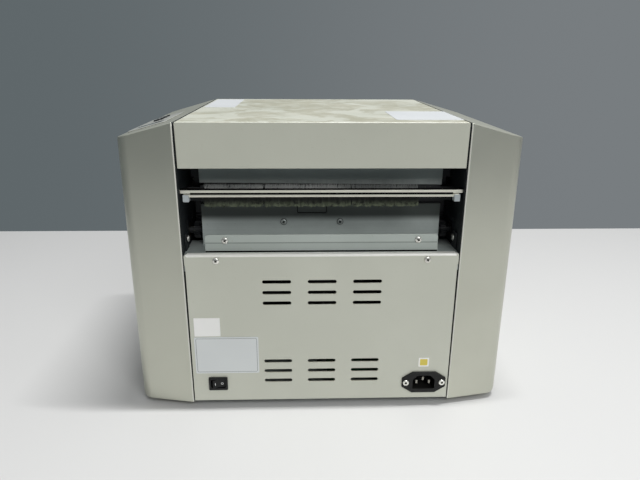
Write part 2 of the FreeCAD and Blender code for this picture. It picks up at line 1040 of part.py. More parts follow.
def blade_carrier():
    near = blade_front + blade_gap + fixed_blade_thickness
    body = box(
        both(frame_inner - seat),
        depths(near, near + carrier_depth),
        (carrier_top - carrier_height, carrier_top),
    )
    tooth = rack_pitch_depth - tooth_tip * module
    notch = box(
        (rack_xs[0] - overrun, rack_xs[1] + overrun),
        depths(tooth - overrun, rack_pitch_depth + tooth_root * module + rack_bar + overrun),
        (carrier_top - carrier_height - overrun, carrier_top + overrun),
    )
    return body.cut(in_pairs(notch))


def ring_x(y, z, outer, inner, x):
    """A ring about an axis along X."""
    return rod_x(y, z, outer, x).cut(rod_x(y, z, inner, grown(x, overrun)))


def shaft_bearings():
    rings = []
    for d, z in bearing_places():
        y = deep(d)
        inner = shaft_radius + running
        body = ring_x(y, z, bearing_radius, inner, (frame_inner, frame_inner + bearing_width))
        flange = (frame_outer, frame_outer + bearing_flange_width)
        collar = ring_x(y, z, bearing_radius + bearing_flange, inner, flange)
        rings += in_pairs(fused([body, collar]))
    return group(rings)


def shaft(d, z, reach_left, reach_right):
    """A shaft through both bearings that stands past them by these reaches."""
    end = frame_inner + bearing_width
    return rod_x(deep(d), z, shaft_radius, (-end - reach_left, end + reach_right))


def pulley_xs():
    """The (low, high) pair in X of the belt's pulleys."""
    start = frame_outer + pulley_setoff
    return (start, start + pulley_width)


def feed_shaft():
    pulley = rod_x(deep(feed_depth), feed_z, feed_roller_radius, pulley_xs())
    return fused([shaft(feed_depth, feed_z, shaft_reach, pulley_width), pulley])


def roller_sleeves(z, radius):
    """The sleeves of one roller shaft."""
    y = deep(feed_depth)
    return [ring_x(y, z, radius, shaft_radius, about(x, roller_width)) for x in roller_xs]


def feed_rollers():
    return group(roller_sleeves(feed_z, feed_roller_radius))


def pinch_roller():
    y = deep(feed_depth)
    parts = [rod_x(y, pinch_z, pinch_radius, about(x, roller_width)) for x in roller_xs]
    return fused([shaft(feed_depth, pinch_z, shaft_reach, shaft_reach)] + parts)


def slitter_gear(z, turn_share):
    """The gear, outside the left frame, that joins one slitter shaft to the other."""
    gear = gear_x(deep(slitter_depth), z, slitter_gear_teeth, gear_xs(), turn_share)
    return mirrored(gear)


def slitter_shaft_lower():
    pulley = rod_x(deep(slitter_depth), slitter_low_z, disc_radius, pulley_xs())
    body = shaft(slitter_depth, slitter_low_z, gear_width, pulley_width)
    turn_share = (slitter_gear_teeth / 4) % 1
    return fused([body, pulley, slitter_gear(slitter_low_z, turn_share)])


def slitter_shaft_upper():
    body = shaft(slitter_depth, slitter_high_z, gear_width, shaft_reach)
    turn_share = (slitter_gear_teeth * 3 / 4 + 1 / 2) % 1
    return fused([body, slitter_gear(slitter_high_z, turn_share)])


def disc(x, z, outward):
    """A slitting disc and its hub, which lie outwards or inwards of the slit at x."""
    y = deep(slitter_depth)
    side = math.copysign(1, x) * (1 if outward else -1)
    face = x + side * running
    back = face + side * disc_width
    hub_width = disc_hub_width if outward else min(disc_hub_width, abs(back))
    blade = ring_x(y, z, disc_radius, shaft_radius, sorted((face, back)))
    hub = ring_x(y, z, disc_hub_radius, shaft_radius, sorted((back, back + side * hub_width)))
    return fused([blade, hub])


def slitter_discs_lower():
    return group(disc(x, slitter_low_z, True) for x in slit_xs)


def slitter_discs_upper():
    return group(disc(x, slitter_high_z, False) for x in slit_xs)


def motor(d, z):
    """A gear motor inside the right frame, its boss set in the frame's hole."""
    inner = frame_inner - motor_length
    body = rod_x(deep(d), z, motor_radius, (inner, frame_inner))
    boss = rod_x(deep(d), z, motor_boss, (frame_inner - overrun, frame_outer))
    bore = (frame_outer - motor_bore, frame_outer + overrun)
    return fused([body, boss]).cut(rod_x(deep(d), z, motor_shaft_radius + running, bore))


def feed_motor():
    return motor(feed_motor_depth, feed_motor_z)


def blade_motor():
    return mirrored(motor(blade_shaft_depth, blade_motor_z))


def motor_shaft(d, z, end):
    """A motor's output shaft, out to where its wheel ends."""
    start = frame_outer - motor_bore + seat
    return rod_x(deep(d), z, motor_shaft_radius, (start, end))


def feed_motor_pulley():
    x = pulley_xs()
    pulley = rod_x(deep(feed_motor_depth), feed_motor_z, motor_pulley_radius, x)
    return fused([motor_shaft(feed_motor_depth, feed_motor_z, x[1]), pulley])


def gear_xs():
    """The (low, high) pair in X of the blade drive's gears, before they are mirrored."""
    start = frame_outer + gear_setoff
    return (start, start + gear_width)


def blade_shaft():
    y = deep(blade_shaft_depth)
    pinion = gear_x(y, blade_shaft_z, rack_teeth, rack_xs, 1 / 2)
    x = gear_xs()
    turn_share = (blade_gear_teeth * 3 / 4) % 1
    wheel = gear_x(y, blade_shaft_z, blade_gear_teeth, x, turn_share)
    body = shaft(blade_shaft_depth, blade_shaft_z, gear_width, shaft_reach)
    return fused([body, mirrored(wheel)] + in_pairs(pinion))


def blade_motor_pinion():
    x = gear_xs()
    turn_share = (blade_pinion_teeth / 4 + 1 / 2) % 1
    wheel = gear_x(deep(blade_shaft_depth), blade_motor_z, blade_pinion_teeth, x, turn_share)
    return mirrored(fused([motor_shaft(blade_shaft_depth, blade_motor_z, x[1]), wheel]))


def belt_loop(grow):
    """The belt's path round its three pulleys as a face, its circles grown by grow."""
    circles = (
        (deep(feed_depth), feed_z, feed_roller_radius + grow),
        (deep(slitter_depth), slitter_low_z, disc_radius + grow),
        (deep(feed_motor_depth), feed_motor_z, motor_pulley_radius + grow),
    )
    ends = []
    count = len(circles)
    x = pulley_xs()[0]
    for i, (y0, z0, r0) in enumerate(circles):
        y1, z1, r1 = circles[(i + 1) % count]
        span = math.hypot(y1 - y0, z1 - z0)
        normal = math.atan2(z1 - z0, y1 - y0) + math.acos((r0 - r1) / span)
        way = (math.cos(normal), math.sin(normal))
        ends.append(((y0 + r0 * way[0], z0 + r0 * way[1]), (y1 + r1 * way[0], z1 + r1 * way[1])))
    edges = []
    for i, (start, end) in enumerate(ends):
        edges.append(Part.LineSegment(Vector(x, *start), Vector(x, *end)).toShape())
        y, z, r = circles[(i + 1) % count]
        following = ends[(i + 1) % count][0]
        middle = Vector(0, (end[0] + following[0]) / 2 - y, (end[1] + following[1]) / 2 - z)
        middle = middle.normalize() * r
        top = Vector(x, y, z) + middle
        edges.append(Part.Arc(Vector(x, *end), top, Vector(x, *following)).toShape())
    return Part.Face(Part.Wire(edges))


def drive_belt():
    band = belt_loop(belt_play + belt_thickness).cut(belt_loop(belt_play))
    return band.extrude(Vector(pulley_width, 0, 0))


def feed_table():
    plate = box(
        both(frame_inner - seat),
        depths(table_start, depth - table_front_gap),
        (table_z, table_top),
    )
    z = grown((table_z, table_top), overrun)
    roller_y = about(deep(feed_depth), feed_roller_radius * 2 - slot_play)
    disc_y = about(deep(slitter_depth), disc_radius * 2)
    cuts = [box(about(x, roller_width + slot_play), roller_y, z) for x in roller_xs]
    cuts += [box(about(x, disc_width * 2 + slot_play), disc_y, z) for x in slit_xs]
    key = guide_key / 2 + seat
    slot = box(
        (paper_half - guide_travel, paper_half + guide_key + seat * 2),
        depths(guide_middle() - key, guide_middle() + key),
        z,
    )
    return plate.cut(cuts + in_pairs(slot))


def guide_middle():
    """The depth of the middle of the paper guides."""
    return depth - guide_front_gap - guide_length / 2


def paper_guide():
    """The right paper guide: a wall, a foot on the table and a key through its slot."""
    y = depths(guide_middle() - guide_length / 2, guide_middle() + guide_length / 2)
    floor = table_top + seat / 3
    wall = box((paper_half, paper_half + sheet), y, (floor, floor + guide_height))
    foot = box((paper_half, paper_half + guide_base), y, (floor, floor + sheet))
    key = box(
        (paper_half + seat, paper_half + seat + guide_key),
        depths(guide_middle() - guide_key / 2, guide_middle() + guide_key / 2),
        (table_z - guide_key_drop, floor + sheet),
    )
    return fused([wall, foot, key])


def paper_guide_right():
    return paper_guide()


def paper_guide_left():
    return mirrored(paper_guide())


def hood_section(inset, bottom):
    """The trapezoid across the top cover, inset by its sheet."""
    top_half = core_half - hood_gap - inset
    low_half = top_half - hood_taper
    top = height - inset
    corner = hood_corner - inset if inset < hood_corner else 0
    points = [(-low_half, bottom), (low_half, bottom), (top_half, top), (-top_half, top)]
    return points, (0, 0, corner, corner)


def top_cover():
    low = height - hood_face
    outer = plate_xz(*hood_section(0, low), depths(0, depth))
    inner = plate_xz(*hood_section(sheet, low - overrun), depths(sheet, depth - sheet))
    rims = [e for e in outer.Edges if abs(e.BoundBox.ZMin - height) < sheet and e.BoundBox.YLength < sheet]
    shell = outer.makeFillet(hood_corner / 2, rims).cut(inner)
    hole = rod_x(
        deep(pivot_depth),
        height - pivot_drop,
        pin_radius + running,
        (core_half - pin_length, core_half + overrun),
    )
    return shell.cut(in_pairs(hole))


def hinge_pins():
    y = deep(pivot_depth)
    z = height - pivot_drop
    start = frame_outer - pin_length
    pin = rod_x(y, z, pin_radius, (start, frame_outer))
    head = rod_x(y, z, pin_head_radius, (frame_outer, frame_outer + pin_head))
    hood_pin = fused([pin, head])
    rod = (tray_half - barrel_length, tray_half + seat + tray_ear)
    tray_pin = rod_x(deep(depth + tray_pivot_stand), tray_pivot_z, tray_pin_radius, rod)
    return group(in_pairs(hood_pin) + in_pairs(tray_pin))


def top_labels():
    z = (height, height + label_thickness)
    rear = (top_rear_insets[0] - core_half, top_rear_insets[1] - core_half)
    front = [core_half - inset for inset in top_front_insets]
    front_depths = [depth - setback for setback in top_front_setbacks]
    return group([box(rear, depths(*top_rear_depths), z), box(front, depths(*front_depths), z)])


def rear_labels():
    spans = (
        ([core_half - inset for inset in plate_insets], plate_heights),
        ([core_half - inset for inset in white_insets], white_heights),
        ([inlet_x + reach for reach in small_reaches], small_heights),
    )
    return group(box(x, depths(-label_thickness, 0), z) for x, z in spans)


def front_panel():
    half = core_half - seat
    y = depths(depth - sheet, depth)
    plate = box(both(half), y, (panel_bottom, table_z - front_gap))
    opening = box(
        both(drawer_half + drawer_gap),
        grown(y, overrun),
        (drawer_base - drawer_gap, drawer_top + drawer_gap),
    )
    x = (tray_half + seat, tray_half + seat + tray_ear)
    z = about(tray_pivot_z, tray_ear_height)
    ear = box(x, depths(depth - sheet, depth + tray_pivot_stand + barrel_radius), z)
    pivot_y = deep(depth + tray_pivot_stand)
    ear = ear.cut(rod_x(pivot_y, tray_pivot_z, tray_pin_radius, grown(x, overrun)))
    return fused([plate.cut(opening)] + in_pairs(ear))


def feed_tray():
    near = depth + tray_stand
    low = tray_pivot_z
    points = rectangle(both(tray_half), (low, low + tray_height))
    y = depths(near, near + tray_thickness)
    plate = plate_xz(points, (0, 0, tray_corner, tray_corner), y)
    scoop = rod_y(0, low + tray_height, tray_scoop, grown(y, overrun))
    pivot_y = deep(depth + tray_pivot_stand)
    barrel_x = (tray_half - barrel_length, tray_half)
    barrel = rod_x(pivot_y, tray_pivot_z, barrel_radius, barrel_x)
    bore = rod_x(pivot_y, tray_pivot_z, tray_pin_radius + running, grown(barrel_x, overrun))
    tray = fused([plate.cut(scoop)] + in_pairs(barrel))
    return tray.cut(in_pairs(bore))


def waste_drawer():
    face = box(both(drawer_half), depths(depth - drawer_front, depth), (drawer_base, drawer_top))
    scoop = rod_y(0, drawer_top, drawer_scoop, depths(depth - drawer_front - overrun, depth + overrun))
    side = drawer_half - drawer_side_inset
    far = depth - drawer_front
    near = drawer_back
    outer = box(both(side), depths(near, far), (drawer_base, drawer_top - drawer_side_inset))
    inner = box(
        both(side - drawer_wall),
        depths(near + drawer_wall, far),
        (drawer_base + drawer_wall, drawer_top + overrun),
    )
    return fused([face.cut(scoop), outer.cut(inner)])


def drawer_rails():
    y = depths(drawer_back, depth - drawer_front * 2)
    return group(in_pairs(box(rail_xs, y, (base_top, drawer_base - seat))))


def switch_housing():
    x = about(switch_x, switch_length)
    z = about(switch_z, switch_height)
    bezel = plate_xz(rectangle(x, z), (switch_corner,) * 4, depths(-switch_bezel, 0))
    body = box(
        about(switch_x, switch_body_length),
        depths(-switch_bezel / 2, switch_body_depth),
        about(switch_z, switch_body_height),
    )
    pocket = box(
        grown((switch_x, switch_x), pocket_half_length),
        depths(-switch_bezel - overrun, pocket_depth),
        grown((switch_z, switch_z), pocket_half_height),
    )
    reach = rocker_half_height + trunnion_length + running
    axle = rod_z(
        switch_x,
        deep(rocker_pivot_depth),
        trunnion_radius + running,
        grown((switch_z, switch_z), reach),
    )
    return fused([bezel, body]).cut([pocket, axle])


def power_rocker():
    points = [
        (rocker_half, rocker_nose),
        (0, rocker_valley),
        (-rocker_half, rocker_nose),
        (-rocker_keel_half, -rocker_keel),
        (rocker_keel_half, -rocker_keel),
    ]
    rocker = plate_xy(points, (0, 0, 0, 0, 0), both(rocker_half_height))
    axle = rod_z(0, 0, trunnion_radius, both(rocker_half_height + trunnion_length))
    rocker = fused([rocker, axle])
    rocker.rotate(Vector(0, 0, 0), Vector(0, 0, 1), rocker_tilt)
    rocker.translate(Vector(switch_x, deep(rocker_pivot_depth), switch_z))
    return rocker


def cut_corners(x, z, cut_x, cut_z):
    """The corners of an upright rectangle with its corners cut off."""
    return [
        (x[0] + cut_x, z[0]),
        (x[1] - cut_x, z[0]),
        (x[1], z[0] + cut_z),
        (x[1], z[1] - cut_z),
        (x[1] - cut_x, z[1]),
        (x[0] + cut_x, z[1]),
        (x[0], z[1] - cut_z),
        (x[0], z[0] + cut_z),
    ]


def mains_inlet():
    x = about(inlet_x, inlet_length)
    z = about(inlet_z, inlet_height)
    points = cut_corners(x, z, inlet_cut_x, inlet_cut_z)
    flange = plate_xz(points, (0,) * 8, depths(-inlet_flange, 0))
    body = box(
        about(inlet_x, inlet_body_length),
        depths(-inlet_flange / 2, inlet_body_depth),
        about(inlet_z, inlet_body_height),
    )
    x = about(inlet_x, socket_length)
    z = about(inlet_z, socket_height)
    socket = [
        (x[0], z[0]),
        (x[1], z[0]),
        (x[1], z[1] - socket_cut),
        (x[1] - socket_cut, z[1]),
        (x[0] + socket_cut, z[1]),
        (x[0], z[1] - socket_cut),
    ]
    hole = plate_xz(socket, (0,) * 6, depths(-inlet_flange - overrun, socket_depth))
    return drilled(fused([flange, body]).cut(hole), inlet_screw_places())


def inlet_pins():
    pins = []
    for column in (-1, 0, 1):
        x = inlet_x + column * inlet_pin_pitch
        z = inlet_z + (inlet_pin_offset if column == 0 else -inlet_pin_offset)
        y = depths(socket_depth - inlet_pin_length, socket_depth)
        pins.append(box(about(x, inlet_pin_width), y, about(z, inlet_pin_height)))
    return group(pins)


def standoffs(x, d, top):
    """Four posts from the base pan, inset from the corners of what they carry."""
    z = (base_top, top)
    xs = (x[0] + standoff_inset, x[1] - standoff_inset)
    ds = (d[0] + standoff_inset, d[1] - standoff_inset)
    return [rod_z(px, deep(pd), standoff_radius, z) for px in xs for pd in ds]


def power_supply():
    floor = base_top + standoff_height
    case = box(supply_x, depths(*supply_depths), (floor, floor + supply_height))
    return fused([case] + standoffs(supply_x, supply_depths, floor))


def control_board():
    floor = base_top + standoff_height
    top = floor + board_thickness
    board = box(board_x, depths(*board_depths), (floor, top))
    solids = [board] + standoffs(board_x, board_depths, floor)
    step = relay_size * 3 / 2
    for i in range(3):
        x = board_x[0] + standoff_inset * 2 + i * step
        d = board_depths[1] - step
        solids.append(box((x, x + relay_size), depths(d, d + relay_size), (top, top + relay_size)))
        y = deep(board_depths[0] + step)
        solids.append(rod_z(x + relay_size / 2, y, capacitor_radius, (top, top + capacitor_height)))
    return fused(solids)


def on_console(shape):
    """Set a piece built about the console's face onto the right cover's sloping top."""
    shape = shape.copy()
    shape.rotate(Vector(0, 0, 0), Vector(1, 0, 0), -quarter_turn)
    shape.rotate(Vector(0, 0, 0), Vector(0, 1, 0), math.degrees(math.atan(shoulder)))
    shape.translate(Vector(console_x, deep(console_setback), shoulder_z(console_x)))
    return shape


def control_panel():
    x = about(0, console_width)
    z = about(0, console_height)
    face = plate_xz(rectangle(x, z), (console_corner,) * 4, (-console_proud, 0))
    inner = grown(x, -console_lip), grown(z, -console_lip)
    body = box(inner[0], (-console_proud / 2, console_depth), inner[1])
    window = box(
        about(0, display_width),
        (-console_proud - overrun, display_thickness - console_proud),
        about(display_rise, display_height),
    )
    reach = (-console_proud - overrun, button_depth + button_travel + seat)
    bores = [rod_y(0, -drop, button_radius + button_bore_gap, reach) for drop in button_drops]
    return on_console(fused([face, body]).cut([window] + bores))


def display_window():
    y = (-console_proud, display_thickness - console_proud)
    return on_console(box(about(0, display_width), y, about(display_rise, display_height)))


def button(drop):
    """A round button in its bore on the console."""
    y = (-console_proud - button_proud, button_depth)
    return on_console(rod_y(0, -drop, button_radius, y))


def start_button():
    return button(button_drops[0])


def mode_button():
    return button(button_drops[1])


def stop_button():
    return button(button_drops[2])


pieces = (
    base_pan,
    rubber_feet,
    side_frame_left,
    side_frame_right,
    stay_rods,
    rear_panel,
    panel_screws,
    shelf_plate,
    lower_guide_plate,
    exit_sensor,
    rear_bracket,
    exit_guide_plate,
    exit_guide_bar,
    guide_bar_clips,
    exit_brushes,
    moving_blade,
    blade_clamp,
    blade_beam,
    blade_guide_posts,
    fixed_blade,
    blade_carrier,
    shaft_bearings,
    feed_shaft,
    feed_rollers,
    pinch_roller,
    slitter_shaft_lower,
    slitter_shaft_upper,
    slitter_discs_lower,
    slitter_discs_upper,
    feed_motor,
    feed_motor_pulley,
    drive_belt,
    blade_motor,
    blade_motor_pinion,
    blade_shaft,
    feed_table,
    paper_guide_left,
    paper_guide_right,
    top_cover,
    hinge_pins,
    top_labels,
    rear_labels,
    front_panel,
    feed_tray,
    waste_drawer,
    drawer_rails,
    switch_housing,
    power_rocker,
    mains_inlet,
    inlet_pins,
    power_supply,
    control_board,
    control_panel,
    display_window,
    start_button,
    mode_button,
    stop_button,
    side_cover_left,
    side_cover_right,
)

os.makedirs("parts", exist_ok=True)
for piece in pieces:
    piece().exportStep(f"parts/{piece.__name__}.step")
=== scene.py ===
import math

import bmesh
import bpy
from mathutils import Matrix, Vector
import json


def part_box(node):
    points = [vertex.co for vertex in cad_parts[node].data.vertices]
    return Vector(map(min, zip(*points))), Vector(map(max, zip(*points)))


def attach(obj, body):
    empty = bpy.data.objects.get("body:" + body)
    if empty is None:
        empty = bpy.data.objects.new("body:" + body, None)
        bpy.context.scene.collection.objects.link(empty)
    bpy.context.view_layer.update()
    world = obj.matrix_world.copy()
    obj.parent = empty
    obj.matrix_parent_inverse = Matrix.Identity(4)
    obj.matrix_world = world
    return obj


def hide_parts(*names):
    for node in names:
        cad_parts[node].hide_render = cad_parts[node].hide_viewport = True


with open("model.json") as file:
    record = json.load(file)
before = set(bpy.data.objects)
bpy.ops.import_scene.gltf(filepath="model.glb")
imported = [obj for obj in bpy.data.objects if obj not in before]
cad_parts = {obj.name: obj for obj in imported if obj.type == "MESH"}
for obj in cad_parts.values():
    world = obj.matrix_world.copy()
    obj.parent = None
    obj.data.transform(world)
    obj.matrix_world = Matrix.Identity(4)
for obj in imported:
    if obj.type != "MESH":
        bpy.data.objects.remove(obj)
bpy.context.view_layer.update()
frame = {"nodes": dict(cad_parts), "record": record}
nodes = frame["nodes"]
MM = 0.001

# Where the machine's rear face lies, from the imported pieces
REAR_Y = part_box("side_cover_left")[1].y

slot_of = {row["node"]: row["material_slot"] for row in frame["record"]["subparts"]}
body_of_node = {
    node: body for body, members in frame["record"]["behaviour"]["bodies"].items() for node in members
}


def tone(red, green, blue):
    """A display colour of 0 to 255 as linear red, green, blue and alpha."""
    parts = []
    for part in (red, green, blue):
        share = part / 255
        parts.append(share / 12.92 if share <= 0.04045 else ((share + 0.055) / 1.055) ** 2.4)
    return (*parts, 1.0)


# Shader node helpers


def add(tree, kind, settings=None, **inputs):
    """A new node whose named inputs are set to values or linked to sockets."""
    node = tree.nodes.new(kind)
    for name, value in (settings or {}).items():
        setattr(node, name, value)
    for name, value in inputs.items():
        connect(tree, node.inputs[name.replace("_", " ")], value)
    return node


def connect(tree, socket, value):
    if isinstance(value, bpy.types.NodeSocket):
        tree.links.new(value, socket)
    else:
        socket.default_value = value


def maths(tree, operation, *values, clamp=False):
    node = tree.nodes.new("ShaderNodeMath")
    node.operation = operation
    node.use_clamp = clamp
    for socket, value in zip(node.inputs, values):
        connect(tree, socket, value)
    return node.outputs[0]


def blended(tree, share, first, second):
    """The colour mixed between two by a share."""
    node = tree.nodes.new("ShaderNodeMix")
    node.data_type = "RGBA"
    colours = [s for s in node.inputs if s.type == "RGBA"]
    connect(tree, node.inputs[0], share)
    connect(tree, colours[0], first)
    connect(tree, colours[1], second)
    return [s for s in node.outputs if s.type == "RGBA"][0]


def stepped(tree, value, low, high, out_low=0.0, out_high=1.0):
    """A smooth step of a value between two edges."""
    node = add(
        tree,
        "ShaderNodeMapRange",
        {"interpolation_type": "SMOOTHSTEP"},
        Value=value,
        From_Min=low,
        From_Max=high,
        To_Min=out_low,
        To_Max=out_high,
    )
    return node.outputs["Result"]


def noise(tree, vector, scale, detail=2.0, roughness=0.5, distortion=0.0):
    settings = {"Scale": scale, "Detail": detail, "Roughness": roughness, "Distortion": distortion}
    return add(tree, "ShaderNodeTexNoise", Vector=vector, **settings).outputs["Fac"]


def group_of(name, kind, inputs, outputs):
    """An empty node group with its sockets, and its input and output nodes."""
    tree = bpy.data.node_groups.new(name, kind)
    for side, sockets in (("INPUT", inputs), ("OUTPUT", outputs)):
        for title, (sort, value) in sockets.items():
            socket = tree.interface.new_socket(title, in_out=side, socket_type="NodeSocket" + sort)
            if value is not None:
                socket.default_value = value
    return tree, tree.nodes.new("NodeGroupInput"), tree.nodes.new("NodeGroupOutput")


def surface_outputs():
    return {"Color": ("Color", None), "Roughness": ("Float", None), "Height": ("Float", None)}


def coating_group():
    """Paint, plastic, rubber and paper: mottled colour, specks, stains, dust on top and fine grain."""
    tree, given, made = group_of(
        "coating",
        "ShaderNodeTree",
        {
            "Colour": ("Color", (0.5, 0.5, 0.5, 1)),
            "Shade": ("Color", (0.4, 0.4, 0.4, 1)),
            "Stain Colour": ("Color", tone(163, 160, 136)),
            "Dust Colour": ("Color", tone(196, 192, 180)),
            "Mottle Scale": ("Float", 9.0),
            "Grain Scale": ("Float", 1500.0),
            "Stain": ("Float", 0.0),
            "Dust": ("Float", 0.0),
            "Specks": ("Float", 0.0),
            "Gloss": ("Float", 0.4),
            "Gloss Spread": ("Float", 0.12),
        },
        surface_outputs(),
    )
    where = add(tree, "ShaderNodeTexCoord").outputs["Object"]
    facing = add(tree, "ShaderNodeNewGeometry").outputs["Normal"]
    up = add(tree, "ShaderNodeSeparateXYZ", Vector=facing).outputs["Z"]
    broad = noise(tree, where, given.outputs["Mottle Scale"], 3.0)
    colour = blended(
        tree, stepped(tree, broad, 0.35, 0.68), given.outputs["Colour"], given.outputs["Shade"]
    )
    dots = stepped(tree, noise(tree, where, 420.0, 1.0), 0.70, 0.76)
    dot_share = maths(tree, "MULTIPLY", dots, given.outputs["Specks"])
    colour = blended(tree, dot_share, colour, given.outputs["Stain Colour"])
    patches = stepped(tree, noise(tree, where, 11.0, 5.0, 0.6, 0.9), 0.47, 0.53)
    streaks = stepped(tree, noise(tree, where, 45.0, 4.0, 0.7), 0.25, 0.6)
    top = maths(tree, "MAXIMUM", up, 0.0)
    marked = maths(tree, "MULTIPLY", maths(tree, "MULTIPLY", patches, streaks), top)
    stain_share = maths(tree, "MULTIPLY", marked, given.outputs["Stain"], clamp=True)
    colour = blended(tree, stain_share, colour, given.outputs["Stain Colour"])
    film = stepped(tree, noise(tree, where, 30.0, 5.0, 0.6), 0.30, 0.80)
    dust_share = maths(tree, "MULTIPLY", maths(tree, "MULTIPLY", film, top), given.outputs["Dust"])
    colour = blended(tree, dust_share, colour, given.outputs["Dust Colour"])
    grain = noise(tree, where, given.outputs["Grain Scale"], 1.0)
    drift = maths(tree, "SUBTRACT", noise(tree, where, 24.0, 4.0), 0.5)
    sheen = maths(tree, "MULTIPLY_ADD", drift, given.outputs["Gloss Spread"], given.outputs["Gloss"])
    dull = maths(tree, "MULTIPLY_ADD", dust_share, 0.35, sheen, clamp=True)
    tree.links.new(colour, made.inputs["Color"])
    tree.links.new(dull, made.inputs["Roughness"])
    tree.links.new(grain, made.inputs["Height"])
    return tree


def sheet_group():
    """Bare metal: a rolled or ground grain along one way, cloudy tarnish and fine scratches, and a painted
    shadow that darkens it above a given height.
    """
    tree, given, made = group_of(
        "bare_sheet",
        "ShaderNodeTree",
        {
            "Colour": ("Color", (0.5, 0.5, 0.5, 1)),
            "Tarnish": ("Color", (0.3, 0.3, 0.3, 1)),
            "Stretch": ("Vector", (8.0, 400.0, 400.0)),
            "Cloud Scale": ("Float", 14.0),
            "Gloss": ("Float", 0.35),
            "Gloss Spread": ("Float", 0.2),
            "Soot": ("Float", 0.0),
            "Soot Low": ("Float", 0.0),
            "Soot High": ("Float", 1.0),
            "Soot Colour": ("Color", tone(70, 76, 73)),
        },
        surface_outputs(),
    )
    where = add(tree, "ShaderNodeTexCoord").outputs["Object"]
    along = add(tree, "ShaderNodeMapping", Vector=where, Scale=given.outputs["Stretch"])
    lines = noise(tree, along.outputs["Vector"], 1.0, 4.0, 0.65)
    clouds = noise(tree, where, given.outputs["Cloud Scale"], 5.0, 0.6, 0.3)
    pits = stepped(tree, noise(tree, where, 260.0, 2.0), 0.64, 0.74)
    worn = maths(tree, "MAXIMUM", stepped(tree, clouds, 0.40, 0.72), maths(tree, "MULTIPLY", pits, 0.6))
    colour = blended(tree, worn, given.outputs["Colour"], given.outputs["Tarnish"])
    # Painted shadow: above a given height the colour turns to the shadow colour
    height = add(tree, "ShaderNodeSeparateXYZ", Vector=where).outputs["Z"]
    shadowed = stepped(tree, height, given.outputs["Soot Low"], given.outputs["Soot High"])
    shadowed = maths(tree, "MULTIPLY", shadowed, given.outputs["Soot"])
    colour = blended(tree, shadowed, colour, given.outputs["Soot Colour"])
    shade = maths(tree, "MULTIPLY_ADD", maths(tree, "SUBTRACT", lines, 0.5), 0.35, 1.0)
    scaled = add(tree, "ShaderNodeVectorMath", {"operation": "SCALE"}, Scale=shade)
    tree.links.new(colour, scaled.inputs[0])
    sheen = maths(
        tree,
        "MULTIPLY_ADD",
        maths(tree, "SUBTRACT", lines, 0.5),
        given.outputs["Gloss Spread"],
        given.outputs["Gloss"],
    )
    dull = maths(tree, "MULTIPLY_ADD", worn, 0.12, sheen, clamp=True)
    tree.links.new(scaled.outputs["Vector"], made.inputs["Color"])
    tree.links.new(dull, made.inputs["Roughness"])
    tree.links.new(lines, made.inputs["Height"])
    return tree


coating = coating_group()
bare_sheet = sheet_group()
finishes = {}


def finish(name, group, values, metallic=0.0, relief=0.02, coat=0.0, specular=0.5):
    """Files a material whose colour, roughness and relief in millimetres come from a group."""
    made = bpy.data.materials.new(name)
    made.use_nodes = True
    tree = made.node_tree
    shader = tree.nodes["Principled BSDF"]
    body = tree.nodes.new("ShaderNodeGroup")
    body.node_tree = group
    for key, value in values.items():
        body.inputs[key.replace("_", " ")].default_value = value
    bump = add(tree, "ShaderNodeBump", Height=body.outputs["Height"], Distance=relief * MM)
    tree.links.new(body.outputs["Color"], shader.inputs["Base Color"])
    tree.links.new(body.outputs["Roughness"], shader.inputs["Roughness"])
    tree.links.new(bump.outputs["Normal"], shader.inputs["Normal"])
    shader.inputs["Metallic"].default_value = metallic
    shader.inputs["Coat Weight"].default_value = coat
    shader.inputs["Specular IOR Level"].default_value = specular
    finishes[name] = made


def coated(name, colour, shade, metallic=0.0, relief=0.02, coat=0.0, specular=0.5, **values):
    values.update(Colour=tone(*colour), Shade=tone(*shade))
    finish(name, coating, values, metallic, relief, coat, specular)


def bare(name, colour, tarnish, metallic=1.0, relief=0.01, **values):
    values.update(Colour=tone(*colour), Tarnish=tone(*tarnish))
    finish(name, bare_sheet, values, metallic, relief)


ALONG_X = (6.0, 1600.0, 1600.0)
ALONG_Z = (420.0, 420.0, 6.0)
EVEN = (60.0, 60.0, 60.0)

# Two colours for each finish, of 0 to 255, and then how metallic it is
coated(
    "cabinet_paint", (204, 206, 192), (199, 201, 187), Stain=0.75, Dust=0.25, Specks=0.10, Gloss=0.34,
    specular=0.8, coat=0.15,
)
coated(
    "cover_paint", (198, 199, 186), (193, 194, 181), metallic=0.75, Specks=0.04, Gloss=0.34,
    Dust=0.15, Grain_Scale=2600.0, relief=0.008,
)
bare("zinc_sheet", (176, 184, 181), (156, 164, 161), 0.35, Stretch=ALONG_X, Gloss=0.5)
# Guide plate zinc: painted lighter than zinc_sheet to stand in for light, with a painted shadow over its
# top band, where the brushes and bars shade it
bare(
    "guide_sheet", (198, 206, 203), (184, 192, 189), 0.3, Stretch=ALONG_X, Gloss=0.5,
    Soot=1.0, Soot_Low=0.2035, Soot_High=0.2125,
)
coated("frame_steel", (19, 25, 29), (14, 19, 22), 0.1, Specks=0.2, Gloss=0.55)
coated(
    "bracket_steel", (190, 198, 192), (182, 190, 184), 0.25, Specks=0.25, Gloss=0.38, Dust=0.2
)
bare("stainless", (242, 240, 226), (222, 220, 206), 0.5, Stretch=ALONG_X, Gloss=0.3)
# Painted highlight for the rear folds of the hood and panel and for the panel's hem
coated("fold_highlight_paint", (252, 252, 246), (248, 248, 240), Gloss=0.3, specular=0.8, coat=0.2)
